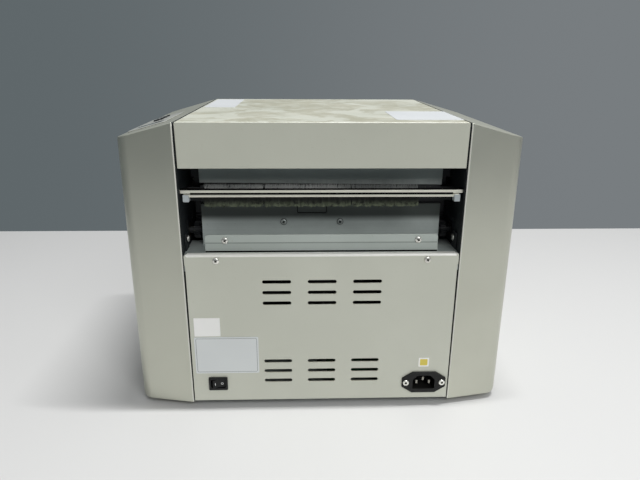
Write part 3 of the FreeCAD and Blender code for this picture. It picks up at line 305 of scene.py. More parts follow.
# Painted highlight for the side covers' inner rear folds
coated("edge_highlight_paint", (224, 225, 215), (218, 219, 209), Gloss=0.3, coat=0.2)
bare("bright_steel", (200, 200, 198), (150, 150, 148), Stretch=EVEN, Gloss=0.2)
bare("blade_steel", (150, 157, 155), (128, 134, 132), 0.4, Stretch=ALONG_Z, Gloss=0.45)
coated("beam_dark", (140, 150, 149), (130, 140, 139), 0.35, Specks=0.35, Gloss=0.45)
coated("black_alloy", (34, 36, 38), (28, 30, 32), 0.4, Specks=0.15, Gloss=0.42)
coated("black_steel", (40, 42, 44), (32, 34, 36), 0.3, Specks=0.2, Gloss=0.5)
bare("screw_zinc", (240, 239, 232), (214, 212, 204), 0.7, Stretch=EVEN, Gloss=0.2)
# Near black standing in for shade: painted shade in screw recesses, slits, seams and shaded faces
coated("black_shade_paint", (7, 7, 7), (5, 5, 5), Gloss=0.9, specular=0.1, Grain_Scale=3000.0)
bare("dull_screw", (190, 196, 193), (160, 166, 163), 0.3, Stretch=EVEN, Gloss=0.35)
coated("nylon", (188, 196, 198), (166, 174, 176), Gloss=0.3)
# Brush fibres: a painted shade darkens the pile towards its roots under the bar, so the lower tips stay
# lighter
bare(
    "brush_fibre", (88, 96, 76), (10, 14, 8), 0.0, Stretch=(900.0, 900.0, 60.0), Cloud_Scale=230.0,
    Gloss=0.7, Soot=1.0, Soot_Low=0.229, Soot_High=0.236, Soot_Colour=tone(10, 13, 8),
)
coated(
    "black_plastic", (13, 14, 14), (10, 11, 11), Gloss=0.4, Dust=0.04, specular=0.3
)
coated("grey_plastic", (150, 152, 148), (144, 146, 142), Gloss=0.45, Dust=0.1)
coated("rubber_black", (34, 34, 33), (28, 28, 27), Gloss=0.75, Grain_Scale=2200.0)
coated("rubber_grey", (110, 110, 106), (98, 98, 95), Gloss=0.8, Grain_Scale=2200.0)
bare("bronze", (96, 84, 66), (66, 58, 46), Stretch=EVEN, Gloss=0.35)
coated("motor_black", (42, 43, 45), (36, 37, 39), 0.4, Gloss=0.3)
coated("board_green", (34, 92, 50), (28, 80, 44), Gloss=0.3, coat=0.4)
coated("label_paper", (252, 252, 249), (248, 248, 245), Gloss=0.4, relief=0.005)
coated("top_paper", (203, 206, 208), (197, 200, 202), Gloss=0.4, relief=0.005)
coated("screen", (36, 42, 36), (32, 38, 32), Gloss=0.08, coat=0.8, relief=0.0)
coated("button_black", (34, 35, 37), (30, 31, 33), Gloss=0.2, coat=0.4)
# Painted shade line along the bracket's crease
coated("crease_shade_grey", (148, 156, 150), (142, 150, 144), 0.25, Gloss=0.4)
coated("fringe_fibre", (188, 190, 188), (128, 132, 130), Gloss=0.6, Grain_Scale=3000.0)
coated("plate_silver", (222, 226, 226), (216, 220, 220), 0.3, Gloss=0.36, relief=0.004)
coated("plate_ink", (96, 102, 104), (90, 96, 98), Gloss=0.5, relief=0.0)
coated("label_yellow", (226, 208, 96), (220, 202, 88), Gloss=0.4, relief=0.004)
coated("mark_white", (226, 228, 226), (220, 222, 220), Gloss=0.5, relief=0.0)
bare("pin_brass", (150, 148, 140), (120, 118, 108), Stretch=EVEN, Gloss=0.3)

# Nodes whose look differs from that of their slot
looks = {"blade_shaft": "black_steel", "stay_rods": "black_steel", "lower_guide_plate": "guide_sheet"}

# Mesh helpers


def new_object(name, data):
    made = bpy.data.objects.new(name, data)
    bpy.context.scene.collection.objects.link(made)
    return made


def plain_mesh(name, helper):
    """The helper's mesh after its modifiers; the helper itself is removed."""
    graph = bpy.context.evaluated_depsgraph_get()
    result = bpy.data.meshes.new_from_object(helper.evaluated_get(graph))
    bpy.data.objects.remove(helper)
    result.name = name
    return result


def object_from(name, mesh, body, material_slot, *replaced):
    """A finished piece on a body, with its finish and the nodes that it stands for."""
    piece = new_object(name, mesh)
    if not mesh.materials:
        mesh.materials.append(finishes[material_slot])
    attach(piece, body)
    if replaced:
        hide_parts(*replaced)
    return piece


def settled(name, mesh, modifiers):
    """The mesh after its modifiers, which are given as kinds with their settings."""
    helper = new_object(name, mesh)
    for kind, settings in modifiers:
        modifier = helper.modifiers.new(kind.lower(), kind)
        for key, value in settings.items():
            setattr(modifier, key, value)
    return plain_mesh(name, helper)


# Radius of the bent folds that catch the light, in millimetres, along the rear top edge of a piece; the
# folds also get a painted highlight
FOLDS = {"top_cover": 1.6, "rear_panel": 2.8}
FOLD_SEGMENTS = 6
# How close to a corner line or a top face something has to be to count as on it
NEAR = 0.3 * MM


def bend_folds(form, node):
    """Rounds the piece's highest, rearmost edge; the bend, and the panel's hem, get the second finish, a
    painted highlight.
    """
    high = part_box(node)[1]
    edges = [
        edge
        for edge in form.edges
        if all(abs(v.co.y - high.y) < NEAR and abs(v.co.z - high.z) < NEAR for v in edge.verts)
    ]
    bent = bmesh.ops.bevel(
        form, geom=edges, offset=FOLDS[node] * MM, segments=FOLD_SEGMENTS, profile=0.5, affect="EDGES"
    )
    for face in bent["faces"]:
        face.material_index = 1
    for face in form.faces:
        on_top = face.normal.z > 0.99 and face.calc_center_median().z > high.z - NEAR
        if node == "rear_panel" and on_top:
            face.material_index = 1


def paint_faces(mesh, finish_name, chosen):
    """Gives another finish to the faces for which the function says so."""
    mesh.materials.append(finishes[finish_name])
    index = len(mesh.materials) - 1
    for face in mesh.polygons:
        if chosen(face):
            face.material_index = index


# Height above which the shelf's ears begin, painted as shade, start of the drawer's bin behind its front,
# reach of a side cover's inner wall, painted as shade, and of its rear fold, painted as highlight, in
# millimetres
EAR_FLOOR = 183.0
EAR_INSET = 2.0
BIN_START = 6.0
WALL_REACH = 2.5
FOLD_REACH = 2.0


def paint_cover(mesh, node):
    """A side cover's inner wall darkened as painted shade, and a painted highlight on its rear fold, where
    it catches the light.
    """
    low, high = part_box(node)
    inward = -1.0 if low.x + high.x > 0 else 1.0
    wall = min(abs(low.x), abs(high.x)) + WALL_REACH * MM
    # Painted shade: the inner wall is dark, so the gap beside the hood reads as shadow
    paint_faces(
        mesh, "frame_steel", lambda face: abs(face.normal.x) > 0.8 and abs(face.center.x) < wall
    )
    # Painted highlight on the cover's inner rear fold
    paint_faces(
        mesh,
        "edge_highlight_paint",
        lambda face: face.normal.x * inward > 0.2
        and face.normal.y > 0.2
        and abs(face.normal.z) < 0.3
        and face.center.y > high.y - FOLD_REACH * MM,
    )


def repaint(mesh, node):
    """Other finishes for parts of some pieces, beside the one of their slot."""
    if node not in FOLDS:
        mesh.materials.append(finishes[looks.get(node, slot_of[node])])
    if node.startswith("side_cover"):
        paint_cover(mesh, node)
    if node == "shelf_plate":
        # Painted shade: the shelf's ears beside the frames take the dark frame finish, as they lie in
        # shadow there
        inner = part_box("side_frame_right")[0].x - EAR_INSET * MM
        floor = EAR_FLOOR * MM
        paint_faces(mesh, "frame_steel", lambda face: abs(face.center.x) > inner and face.center.z > floor)
    if node == "waste_drawer":
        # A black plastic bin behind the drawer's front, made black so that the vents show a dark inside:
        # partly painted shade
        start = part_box(node)[0].y + BIN_START * MM
        paint_faces(mesh, "black_plastic", lambda face: face.center.y > start)
    if node == "exit_guide_plate":
        # Painted shade: the plate's upward faces are black, standing in for the dark they reflect and the
        # shade under the hood
        paint_faces(mesh, "black_shade_paint", lambda face: face.normal.z > 0.6)


def softened(node, width, segments=2, angle=32.0):
    """A node's own form with its sharp edges rounded by a width in millimetres."""
    mesh = nodes[node].data.copy()
    mesh.materials.clear()
    form = bmesh.new()
    form.from_mesh(mesh)
    bmesh.ops.remove_doubles(form, verts=form.verts, dist=0.002 * MM)
    bmesh.ops.dissolve_limit(form, angle_limit=math.radians(0.5), verts=form.verts, edges=form.edges)
    if node in FOLDS:
        bend_folds(form, node)
        mesh.materials.append(finishes[slot_of[node]])
        # The second finish: a painted highlight on the folds
        mesh.materials.append(finishes["fold_highlight_paint"])
    for face in form.faces:
        face.smooth = True
    form.to_mesh(mesh)
    form.free()
    rounding = {
        "width": width * MM,
        "segments": segments,
        "limit_method": "ANGLE",
        "angle_limit": math.radians(angle),
        "use_clamp_overlap": False,
        "miter_outer": "MITER_ARC",
    }
    even = {"keep_sharp": True, "weight": 80, "mode": "FACE_AREA"}
    result = settled(node + "_rounded", mesh, [("BEVEL", rounding), ("WEIGHTED_NORMAL", even)])
    repaint(result, node)
    return object_from(node + "_rounded", result, body_of_node[node], slot_of[node], node)


# Edge rounding of the pressed, moulded and machined pieces, in millimetres
rounded_edges = {
    "side_cover_left": 1.2,
    "side_cover_right": 1.2,
    "top_cover": 0.5,
    "rear_panel": 0.4,
    "front_panel": 0.4,
    "waste_drawer": 0.5,
    "feed_tray": 0.5,
    "base_pan": 0.3,
    "shelf_plate": 0.3,
    "lower_guide_plate": 0.3,
    "rear_bracket": 0.3,
    "exit_guide_plate": 0.4,
    "exit_guide_bar": 0.4,
    "guide_bar_clips": 0.3,
    "exit_sensor": 0.3,
    "side_frame_left": 0.2,
    "side_frame_right": 0.2,
    "blade_clamp": 0.2,
    "blade_beam": 0.3,
    "blade_carrier": 0.4,
    "paper_guide_left": 0.3,
    "paper_guide_right": 0.3,
    "switch_housing": 0.4,
    "mains_inlet": 0.4,
    "control_panel": 0.5,
    "power_rocker": 0.25,
    "power_supply": 0.5,
    "drawer_rails": 0.3,
}
for node, width in rounded_edges.items():
    softened(node, width)


def islands(node):
    """The separate solids of a node, each as a list of its corners."""
    form = bmesh.new()
    form.from_mesh(nodes[node].data)
    bmesh.ops.remove_doubles(form, verts=form.verts, dist=0.002 * MM)
    groups = []
    seen = set()
    for start in form.verts:
        if start in seen:
            continue
        seen.add(start)
        found = [start]
        for vert in found:
            for edge in vert.link_edges:
                other = edge.other_vert(vert)
                if other not in seen:
                    seen.add(other)
                    found.append(other)
        groups.append([vert.co.copy() for vert in found])
    form.free()
    return groups


def corners_of(points):
    """The lowest and highest corner of some points."""
    low = Vector(min(p[axis] for p in points) for axis in range(3))
    high = Vector(max(p[axis] for p in points) for axis in range(3))
    return low, high


def shell_of(name, make):
    """A mesh whose form the given function fills, with its faces turned outwards."""
    mesh = bpy.data.meshes.new(name)
    form = bmesh.new()
    make(form)
    bmesh.ops.recalc_face_normals(form, faces=form.faces)
    form.to_mesh(mesh)
    form.free()
    return mesh


def ring_form(form, profile, segments):
    """A turned form about Z from (radius, height) pairs that start and end on the axis."""
    rows = []
    for radius, height in profile:
        if radius == 0:
            rows.append([form.verts.new((0, 0, height * MM))])
            continue
        row = []
        for step in range(segments):
            angle = 2 * math.pi * step / segments
            row.append(
                form.verts.new((radius * MM * math.cos(angle), radius * MM * math.sin(angle), height * MM))
            )
        rows.append(row)
    for low, high in zip(rows, rows[1:]):
        for step in range(segments):
            after = (step + 1) % segments
            if len(low) == 1:
                form.faces.new((low[0], high[step], high[after]))
            elif len(high) == 1:
                form.faces.new((low[after], low[step], high[0]))
            else:
                form.faces.new((low[step], low[after], high[after], high[step]))


def prism_form(form, outline, low, high, taper=1.0):
    """A closed form from an outline in X and Y between two heights, its low end scaled by a taper."""
    bottom = [form.verts.new((x * taper * MM, y * taper * MM, low * MM)) for x, y in outline]
    top = [form.verts.new((x * MM, y * MM, high * MM)) for x, y in outline]
    form.faces.new(reversed(bottom))
    form.faces.new(top)
    count = len(outline)
    for step in range(count):
        after = (step + 1) % count
        form.faces.new((bottom[step], bottom[after], top[after], top[step]))


def cross_outline(arm, half):
    """A plus sign with arms of this reach and half width."""
    quarter = [(half, half), (half, arm), (-half, arm)]
    points = []
    for turn in range(4):
        cos, sin = ((1, 0), (0, 1), (-1, 0), (0, -1))[turn]
        points += [(x * cos - y * sin, x * sin + y * cos) for x, y in quarter]
    return points


# Screw heads: a pan head with a tapered cross recess, set on every screw of the record
SCREW_RADIUS = 3.5
SCREW_HEIGHT = 1.9
SCREW_RECESS = 1.6


def screw_head_mesh(rim=9.0):
    """The head; faces in its recess, and those outside the rim radius, are marked for painted shade: the
    dark of the recess and a contact shadow ring round the head.
    """
    pan = [
        (0, -0.4),
        (SCREW_RADIUS * 0.8, -0.4),
        (SCREW_RADIUS * 0.84, 0.2),
        (SCREW_RADIUS, 0.35),
        (SCREW_RADIUS, 0.6),
        (SCREW_RADIUS * 0.96, 0.95),
        (SCREW_RADIUS * 0.86, 1.3),
        (SCREW_RADIUS * 0.7, 1.58),
        (SCREW_RADIUS * 0.5, 1.76),
        (SCREW_RADIUS * 0.25, 1.86),
        (0, SCREW_HEIGHT),
    ]
    head = shell_of("screw_pan", lambda form: ring_form(form, pan, 40))
    outline = cross_outline(2.3, 0.72)
    depth = SCREW_HEIGHT - SCREW_RECESS
    cutter_mesh = shell_of("screw_cross", lambda form: prism_form(form, outline, depth, 3.0, 0.35))
    cutter = new_object("screw_cross", cutter_mesh)
    cut = {"operation": "DIFFERENCE", "object": cutter, "solver": "EXACT"}
    result = settled("screw_head", head, [("BOOLEAN", cut)])
    bpy.data.objects.remove(cutter)
    for face in result.polygons:
        face.use_smooth = True
    result.set_sharp_from_angle(angle=math.radians(38))
    # Painted shade: the recess and the ring outside the rim take the dark finish
    dark = result.attributes.new("recess", "BOOLEAN", "FACE")
    for face in result.polygons:
        reach = math.hypot(face.center.x, face.center.y)
        in_shade = reach < 2.35 * MM and (face.normal.z < 0.6 or face.center.z < 0.5 * MM)
        dark.data[face.index].value = in_shade or reach > rim * MM
    return result


def screw_tree():
    """Sets a head on every point, its axis along the point's direction, turned at random."""
    tree, given, made = group_of(
        "screw_heads",
        "GeometryNodeTree",
        {
            "Geometry": ("Geometry", None),
            "Head": ("Object", None),
            "Finish": ("Material", None),
            "Shade Finish": ("Material", None),
            "Seed": ("Int", 4),
        },
        {"Geometry": ("Geometry", None)},
    )
    direction = add(tree, "GeometryNodeInputNamedAttribute", {"data_type": "FLOAT_VECTOR"}, Name="out")
    facing = add(tree, "FunctionNodeAlignRotationToVector", {"axis": "Z"})
    tree.links.new(direction.outputs["Attribute"], facing.inputs["Vector"])
    part = add(tree, "GeometryNodeObjectInfo", Object=given.outputs["Head"])
    part.inputs["As Instance"].default_value = True
    placed = add(
        tree,
        "GeometryNodeInstanceOnPoints",
        Points=given.outputs["Geometry"],
        Instance=part.outputs["Geometry"],
        Rotation=facing.outputs["Rotation"],
    )
    spin = add(tree, "FunctionNodeRandomValue", {"data_type": "FLOAT"}, Seed=given.outputs["Seed"])
    spin.inputs[3].default_value = math.pi
    turn = add(tree, "ShaderNodeCombineXYZ", Z=spin.outputs[1])
    turned = add(tree, "GeometryNodeRotateInstances", Instances=placed.outputs["Instances"])
    tree.links.new(turn.outputs["Vector"], turned.inputs["Rotation"])
    real = add(tree, "GeometryNodeRealizeInstances", Geometry=turned.outputs["Instances"])
    painted = add(tree, "GeometryNodeSetMaterial", Geometry=real.outputs["Geometry"])
    tree.links.new(given.outputs["Finish"], painted.inputs["Material"])
    # Faces marked for painted shade get the shade finish
    in_shade = add(tree, "GeometryNodeInputNamedAttribute", {"data_type": "BOOLEAN"}, Name="recess")
    darkened = add(
        tree,
        "GeometryNodeSetMaterial",
        Geometry=painted.outputs["Geometry"],
        Selection=in_shade.outputs["Attribute"],
    )
    tree.links.new(given.outputs["Shade Finish"], darkened.inputs["Material"])
    tree.links.new(darkened.outputs["Geometry"], made.inputs["Geometry"])
    return tree


def grown_by(name, mesh, tree, values):
    """The plain mesh that a Geometry Nodes tree makes from a mesh and named values."""
    helper = new_object(name, mesh)
    modifier = helper.modifiers.new("nodes", "NODES")
    modifier.node_group = tree
    titles = {
        item.name: item.identifier
        for item in tree.interface.items_tree
        if item.item_type == "SOCKET" and item.in_out == "INPUT"
    }
    for title, value in values.items():
        modifier[titles[title]] = value
    return plain_mesh(name, helper)


def socket_head_mesh():
    """The inlet's bright flat head with a deep round socket."""
    profile = [
        (0, 0.15),
        (1.15, 0.15),
        (1.3, 0.3),
        (1.35, 1.35),
        (1.55, 1.6),
        (2.6, 1.6),
        (3.2, 1.25),
        (3.4, 0.7),
        (3.4, 0.3),
        (2.9, 0.1),
        (2.8, -0.4),
        (0, -0.4),
    ]
    mesh = shell_of("socket_head", lambda form: ring_form(form, profile, 36))
    for face in mesh.polygons:
        face.use_smooth = True
    mesh.set_sharp_from_angle(angle=math.radians(42))
    return mesh


def on_inlet(points):
    """Whether a screw holds the mains inlet."""
    low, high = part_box("mains_inlet")
    middle = sum(points, Vector()) / len(points)
    return low.x < middle.x < high.x and low.z < middle.z < high.z


def screw_points(islands_chosen):
    """A mesh of the screws' seats, with the way that each head faces."""
    seats = []
    ways = []
    for points in islands_chosen:
        low, high = corners_of(points)
        size = high - low
        axis = max(range(3), key=lambda a: size[a])
        middle = (low + high) / 2
        across = [a for a in range(3) if a != axis]
        rim = [
            p[axis]
            for p in points
            if math.hypot(p[across[0]] - middle[across[0]], p[across[1]] - middle[across[1]]) > 3.4 * MM
        ]
        level = sum(rim) / len(rim)
        way = Vector((0, 0, 0))
        way[axis] = 1 if level > middle[axis] else -1
        seat = middle.copy()
        seat[axis] = min(rim) if way[axis] > 0 else max(rim)
        seats.append(seat)
        ways.append(way)
    mesh = bpy.data.meshes.new("screw_seats")
    mesh.from_pydata(seats, [], [])
    out = mesh.attributes.new("out", "FLOAT_VECTOR", "POINT")
    for index, way in enumerate(ways):
        out.data[index].vector = way
    return mesh


def set_screws():
    tree = screw_tree()
    chosen = {"cross_screws": [], "inlet_screws": [], "guide_screws": []}
    for points in islands("panel_screws"):
        chosen[screw_kind(points)].append(points)
    looks_of = {"inlet_screws": "screw_zinc", "cross_screws": "screw_zinc", "guide_screws": "dull_screw"}
    for name, group in chosen.items():
        if name == "inlet_screws":
            form = socket_head_mesh()
        else:
            form = screw_head_mesh(2.9 if name == "guide_screws" else 9.0)
        head = new_object(name + "_head", form)
        # Painted shade finish: near black in the cross recess; for the guide screws the dark frame finish,
        # as recess and contact shadow ring
        dark = "frame_steel" if name == "guide_screws" else "black_shade_paint"
        values = {"Head": head, "Finish": finishes[looks_of[name]], "Shade Finish": finishes[dark]}
        mesh = grown_by(name, screw_points(group), tree, values)
        bpy.data.objects.remove(head)
        replaced = ["panel_screws"] if name == "cross_screws" else []
        object_from(name, mesh, "chassis", "screw_zinc", *replaced)


def screw_kind(points):
    middle = sum(points, Vector()) / len(points)
    low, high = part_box("lower_guide_plate")
    if on_inlet(points):
        return "inlet_screws"
    if abs(middle.y - high.y) < 4 * MM and low.z < middle.z < high.z:
        return "guide_screws"
    return "cross_screws"


# Brushes of the card exit: a dark pile with loose fibres that lean and differ in length
def fibre_tree():
    tree, given, made = group_of(
        "brush_fibres",
        "GeometryNodeTree",
        {
            "Geometry": ("Geometry", None),
            "Density": ("Float", 3.0e6),
            "Length": ("Float", 9.0 * MM),
            "Radius": ("Float", 0.16 * MM),
            "Lean": ("Float", 0.2),
            "Unevenness": ("Float", 0.25),
            "Finish": ("Material", None),
            "Seed": ("Int", 7),
        },
        {"Geometry": ("Geometry", None)},
    )
    scattered = add(
        tree,
        "GeometryNodeDistributePointsOnFaces",
        Mesh=given.outputs["Geometry"],
        Density=given.outputs["Density"],
        Seed=given.outputs["Seed"],
    )
    fibre = add(
        tree,
        "GeometryNodeMeshCone",
        {"fill_type": "TRIANGLE_FAN"},
        Depth=given.outputs["Length"],
    )
    fibre.inputs["Vertices"].default_value = 4
    tree.links.new(given.outputs["Radius"], fibre.inputs["Radius Bottom"])
    placed = add(
        tree,
        "GeometryNodeInstanceOnPoints",
        Points=scattered.outputs["Points"],
        Instance=fibre.outputs["Mesh"],
        Rotation=scattered.outputs["Rotation"],
    )
    lean = add(tree, "FunctionNodeRandomValue", {"data_type": "FLOAT_VECTOR"}, Seed=given.outputs["Seed"])
    less = maths(tree, "MULTIPLY", given.outputs["Lean"], -1.0)
    for socket, value in ((lean.inputs[0], less), (lean.inputs[1], given.outputs["Lean"])):
        spread = add(tree, "ShaderNodeCombineXYZ", X=value, Y=value, Z=0.0)
        tree.links.new(spread.outputs["Vector"], socket)
    leaning = add(tree, "GeometryNodeRotateInstances", Instances=placed.outputs["Instances"])
    tree.links.new(lean.outputs[0], leaning.inputs["Rotation"])
    size = add(tree, "FunctionNodeRandomValue", {"data_type": "FLOAT"}, Seed=given.outputs["Seed"])
    tree.links.new(maths(tree, "SUBTRACT", 1.0, given.outputs["Unevenness"]), size.inputs[2])
    size.inputs[3].default_value = 1.0
    scale = add(tree, "ShaderNodeCombineXYZ", X=1.0, Y=1.0, Z=size.outputs[1])
    scaled = add(tree, "GeometryNodeScaleInstances", Instances=leaning.outputs["Instances"])
    tree.links.new(scale.outputs["Vector"], scaled.inputs["Scale"])
    real = add(tree, "GeometryNodeRealizeInstances", Geometry=scaled.outputs["Instances"])
    painted = add(tree, "GeometryNodeSetMaterial", Geometry=real.outputs["Geometry"])
    tree.links.new(given.outputs["Finish"], painted.inputs["Material"])
    tree.links.new(painted.outputs["Geometry"], made.inputs["Geometry"])
    return tree


def strip_mesh(name, boxes, level, faces_up):
    """The flat root faces from which fibres grow."""
    corners = []
    for low, high in boxes:
        z = level(low, high)
        loop = [(low.x, low.y, z), (high.x, low.y, z), (high.x, high.y, z), (low.x, high.y, z)]
        corners += loop if faces_up else reversed(loop)
    faces = [range(start, start + 4) for start in range(0, len(corners), 4)]
    mesh = bpy.data.meshes.new(name)
    mesh.from_pydata(corners, [], faces)
    return mesh


def pile_form(form, low, high, hem, wave):
    """A slab whose free edge is uneven, as trimmed fibres are."""
    count = max(2, int((high.x - low.x) / (1.1 * MM)))
    rows = []
    for step in range(count + 1):
        x = low.x + (high.x - low.x) * step / count
        sway = math.sin(step * 1.7) + math.sin(step * 0.63 + 1.0) + math.sin(step * 4.1 + 0.5)
        edge = hem + wave * sway
        rows.append([form.verts.new(p) for p in (
            (x, low.y, edge), (x, high.y, edge), (x, high.y, high.z), (x, low.y, high.z))])
    for first, second in zip(rows, rows[1:]):
        for step in range(4):
            after = (step + 1) % 4
            form.faces.new((first[step], first[after], second[after], second[step]))
    form.faces.new(rows[0])
    form.faces.new(reversed(rows[-1]))


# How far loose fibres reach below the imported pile, in millimetres
BRUSH_OVERHANG = 2.3


def set_brushes():
    boxes = [corners_of(points) for points in islands("exit_brushes")]
    split = sum((low.z + high.z) / 2 for low, high in boxes) / len(boxes)
    hanging = [b for b in boxes if b[0].z < split]
    fringe = [b for b in boxes if b[0].z >= split]
    tree = fibre_tree()
    finish_of = finishes["brush_fibre"]
    roots = strip_mesh("brush_roots", hanging, lambda low, high: high.z, False)
    drop = hanging[0][1].z - hanging[0][0].z + BRUSH_OVERHANG * MM
    down = grown_by("brush_down", roots, tree, {
        "Density": 6.0e6, "Length": drop, "Radius": 0.2 * MM, "Lean": 0.16, "Unevenness": 0.28,
        "Finish": finish_of, "Seed": 11,
    })
    roots = strip_mesh("fringe_roots", fringe, lambda low, high: low.z, True)
    rise = fringe[0][1].z - fringe[0][0].z
    up = grown_by("brush_up", roots, tree, {
        "Density": 5.0e6, "Length": rise * 3.4, "Radius": 0.26 * MM, "Lean": 0.3, "Unevenness": 0.35,
        "Finish": finishes["fringe_fibre"], "Seed": 5,
    })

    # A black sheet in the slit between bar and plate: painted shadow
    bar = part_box("exit_guide_bar")
    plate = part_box("exit_guide_plate")
    root = Vector((bar[0].x + 7 * MM, bar[0].y, bar[1].z - 0.1 * MM))
    root_far = Vector((bar[1].x - 7 * MM, plate[1].y + 0.06 * MM, plate[0].z + 0.75 * MM))

    def make(form):
        for low, high in hanging:
            inset = Vector((0, 0.5 * MM, 0))
            hem = low.z + (1.6 - BRUSH_OVERHANG) * MM
            pile_form(form, low + inset, high - inset, hem, 0.5 * MM)

    pile = shell_of("brush_pile", make)
    pile.materials.append(finish_of)
    sheet_piece("bar_seam", root, root_far, "y", 0.1, "black_shade_paint", "chassis")
    object_from("brush_pile", pile, "chassis", "brush_fibre", "exit_brushes")
    object_from("brush_bristles", down, "chassis", "brush_fibre")
    object_from("brush_fringe", up, "chassis", "brush_fibre")


# Blank labels and the rating plate, each a thin sheet with rounded corners
def rounded_outline(width, height, corner, steps=5):
    """An outline about the middle in millimetres, anticlockwise."""
    points = []
    for turn, (sx, sy) in enumerate(((1, 1), (-1, 1), (-1, -1), (1, -1))):
        for step in range(steps + 1):
            angle = math.pi / 2 * (turn + step / steps)
            points.append((
                sx * (width / 2 - corner) + corner * math.cos(angle),
                sy * (height / 2 - corner) + corner * math.sin(angle),
            ))
    return points


def sheet_piece(name, low, high, out_axis, corner, finish_name, body, *replaced):
    """A thin plate that fills a box, with rounded corners and a softened outer edge."""
    middle = (low + high) / 2
    size = (high - low) / MM
    if out_axis == "y":
        turn = Matrix(((-1, 0, 0), (0, 0, 1), (0, 1, 0)))
        width, height, depth = size.x, size.z, size.y
    else:
        turn = Matrix.Identity(3)
        width, height, depth = size.x, size.y, size.z
    outline = rounded_outline(width, height, corner)
    mesh = shell_of(name, lambda form: prism_form(form, outline, -depth / 2, depth / 2))
    rounding = {"width": 0.12 * MM, "segments": 2, "limit_method": "ANGLE", "angle_limit": 1.0}
    mesh = settled(name, mesh, [("BEVEL", rounding)])
    mesh.transform(Matrix.Translation(middle) @ turn.to_4x4())
    mesh.materials.clear()
    mesh.materials.append(finishes[finish_name])
    return object_from(name, mesh, body, "label_paper", *replaced)


def band_form(form, outer, inner, height):
    """A flat closed band between two outlines."""
    rings = []
    for outline, level in ((outer, 0.0), (outer, height), (inner, height), (inner, 0.0)):
        rings.append([form.verts.new((x * MM, y * MM, level * MM)) for x, y in outline])
    count = len(outer)
    for first, second in zip(rings, rings[1:] + rings[:1]):
        for step in range(count):
            after = (step + 1) % count
            form.faces.new((first[step], first[after], second[after], second[step]))


# Heights of printed borders and marks above their surface, in millimetres
BORDER_HEIGHT = 0.03
MARK_HEIGHT = 0.05


def frame_piece(name, low, high, inset, thickness, finish_name):
    """A printed border line on the rear plate, as a frame that stands a little proud."""
    middle = (low + high) / 2
    size = (high - low) / MM
    outer = rounded_outline(size.x - inset * 2, size.z - inset * 2, 1.6)
    inner = rounded_outline(size.x - inset * 2 - thickness * 2, size.z - inset * 2 - thickness * 2, 1.2)
    mesh = shell_of(name, lambda form: band_form(form, outer, inner, BORDER_HEIGHT))
    turn = Matrix(((-1, 0, 0), (0, 0, 1), (0, 1, 0))).to_4x4()
    mesh.transform(Matrix.Translation((middle.x, high.y - 0.01 * MM, middle.z)) @ turn)
    mesh.materials.append(finishes[finish_name])
    return object_from(name, mesh, "chassis", "label_paper")


def set_labels():
    rear = sorted((corners_of(points) for points in islands("rear_labels")), key=lambda b: b[0].x)
    small, *others = rear
    plate, white = sorted(others, key=lambda b: b[0].z)
    sheet_piece("rating_plate", *plate, "y", 1.5, "plate_silver", "chassis", "rear_labels")
    frame_piece("plate_border", *plate, 1.7, 0.35, "plate_ink")
    sheet_piece("white_label", *white, "y", 0.6, "label_paper", "chassis")
    sheet_piece("small_label", *small, "y", 0.6, "label_paper", "chassis")
    inset = Vector((1.6, 0, 1.6)) * MM
    patch_low = Vector((small[0].x, small[1].y - 0.02 * MM, small[0].z)) + inset
    patch_high = Vector((small[1].x, small[1].y + 0.03 * MM, small[1].z)) - inset
    sheet_piece("small_patch", patch_low, patch_high, "y", 0.8, "label_yellow", "chassis")
    top = sorted((corners_of(points) for points in islands("top_labels")), key=lambda b: -b[1].y)
    names = ("top_label_rear", "top_label_front")
    sheet_piece(names[0], *top[0], "z", 1.5, "top_paper", "top_cover", "top_labels")
    sheet_piece(names[1], *top[1], "z", 1.5, "top_paper", "top_cover")


NOTCH_XS = (-5.9, 25.8)
NOTCH_TOP_DROP = 2.5
NOTCH_DEPTH = 7.8
NOTCH_GAP = 0.9


def set_sensor_face():
    """The sensor's cover, which fills the notch of the guide plate but for a thin gap."""
    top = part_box("lower_guide_plate")[1].z - NOTCH_TOP_DROP * MM
    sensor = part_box("exit_sensor")
    corner = Vector((NOTCH_XS[0] * MM + NOTCH_GAP * MM, sensor[1].y, top - (NOTCH_DEPTH - NOTCH_GAP) * MM))
    far = Vector((NOTCH_XS[1] * MM - NOTCH_GAP * MM, sensor[1].y + 0.8 * MM, top - 0.2 * MM))
    sheet_piece("sensor_face", corner, far, "y", 0.6, "guide_sheet", "chassis")


# Heights of the painted shade line along the bracket's crease and of the painted shadow strip at its seam
# with the panel, in millimetres, how far the bracket's face lies in from the rear, and how far these two
# marks stand out of it
CREASE = (189.2, 190.4)
SEAM = (180.2, 181.8)
BRACKET_DEPTH = 9.0
CREASE_LIFT = 0.04
SEAM_LIFT = 1.6
END_GAP = 0.4


def set_bracket_lines():
    """A painted shade line along the pressed crease across the bracket, and a painted shadow strip along
    the seam at its foot.
    """
    low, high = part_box("rear_bracket")
    for name, (bottom, top), lift, finish_name in (
        ("bracket_crease", CREASE, CREASE_LIFT, "crease_shade_grey"),
        ("bracket_seam", SEAM, SEAM_LIFT, "black_shade_paint"),
    ):
        first = Vector((low.x + END_GAP * MM, REAR_Y - BRACKET_DEPTH * MM, bottom * MM))
        last = Vector((high.x - END_GAP * MM, first.y + lift * MM, top * MM))
        sheet_piece(name, first, last, "y", 0.1, finish_name, "chassis")


# Marks on the rocker: a bar and a ring
def mark_form(form, outline, hole=None):
    if hole is None:
        prism_form(form, outline, 0.0, MARK_HEIGHT)
    else:
        band_form(form, outline, hole, MARK_HEIGHT)


def circle_outline(radius, steps=28):
    return [
        (radius * math.cos(2 * math.pi * s / steps), radius * math.sin(2 * math.pi * s / steps))
        for s in range(steps)
    ]


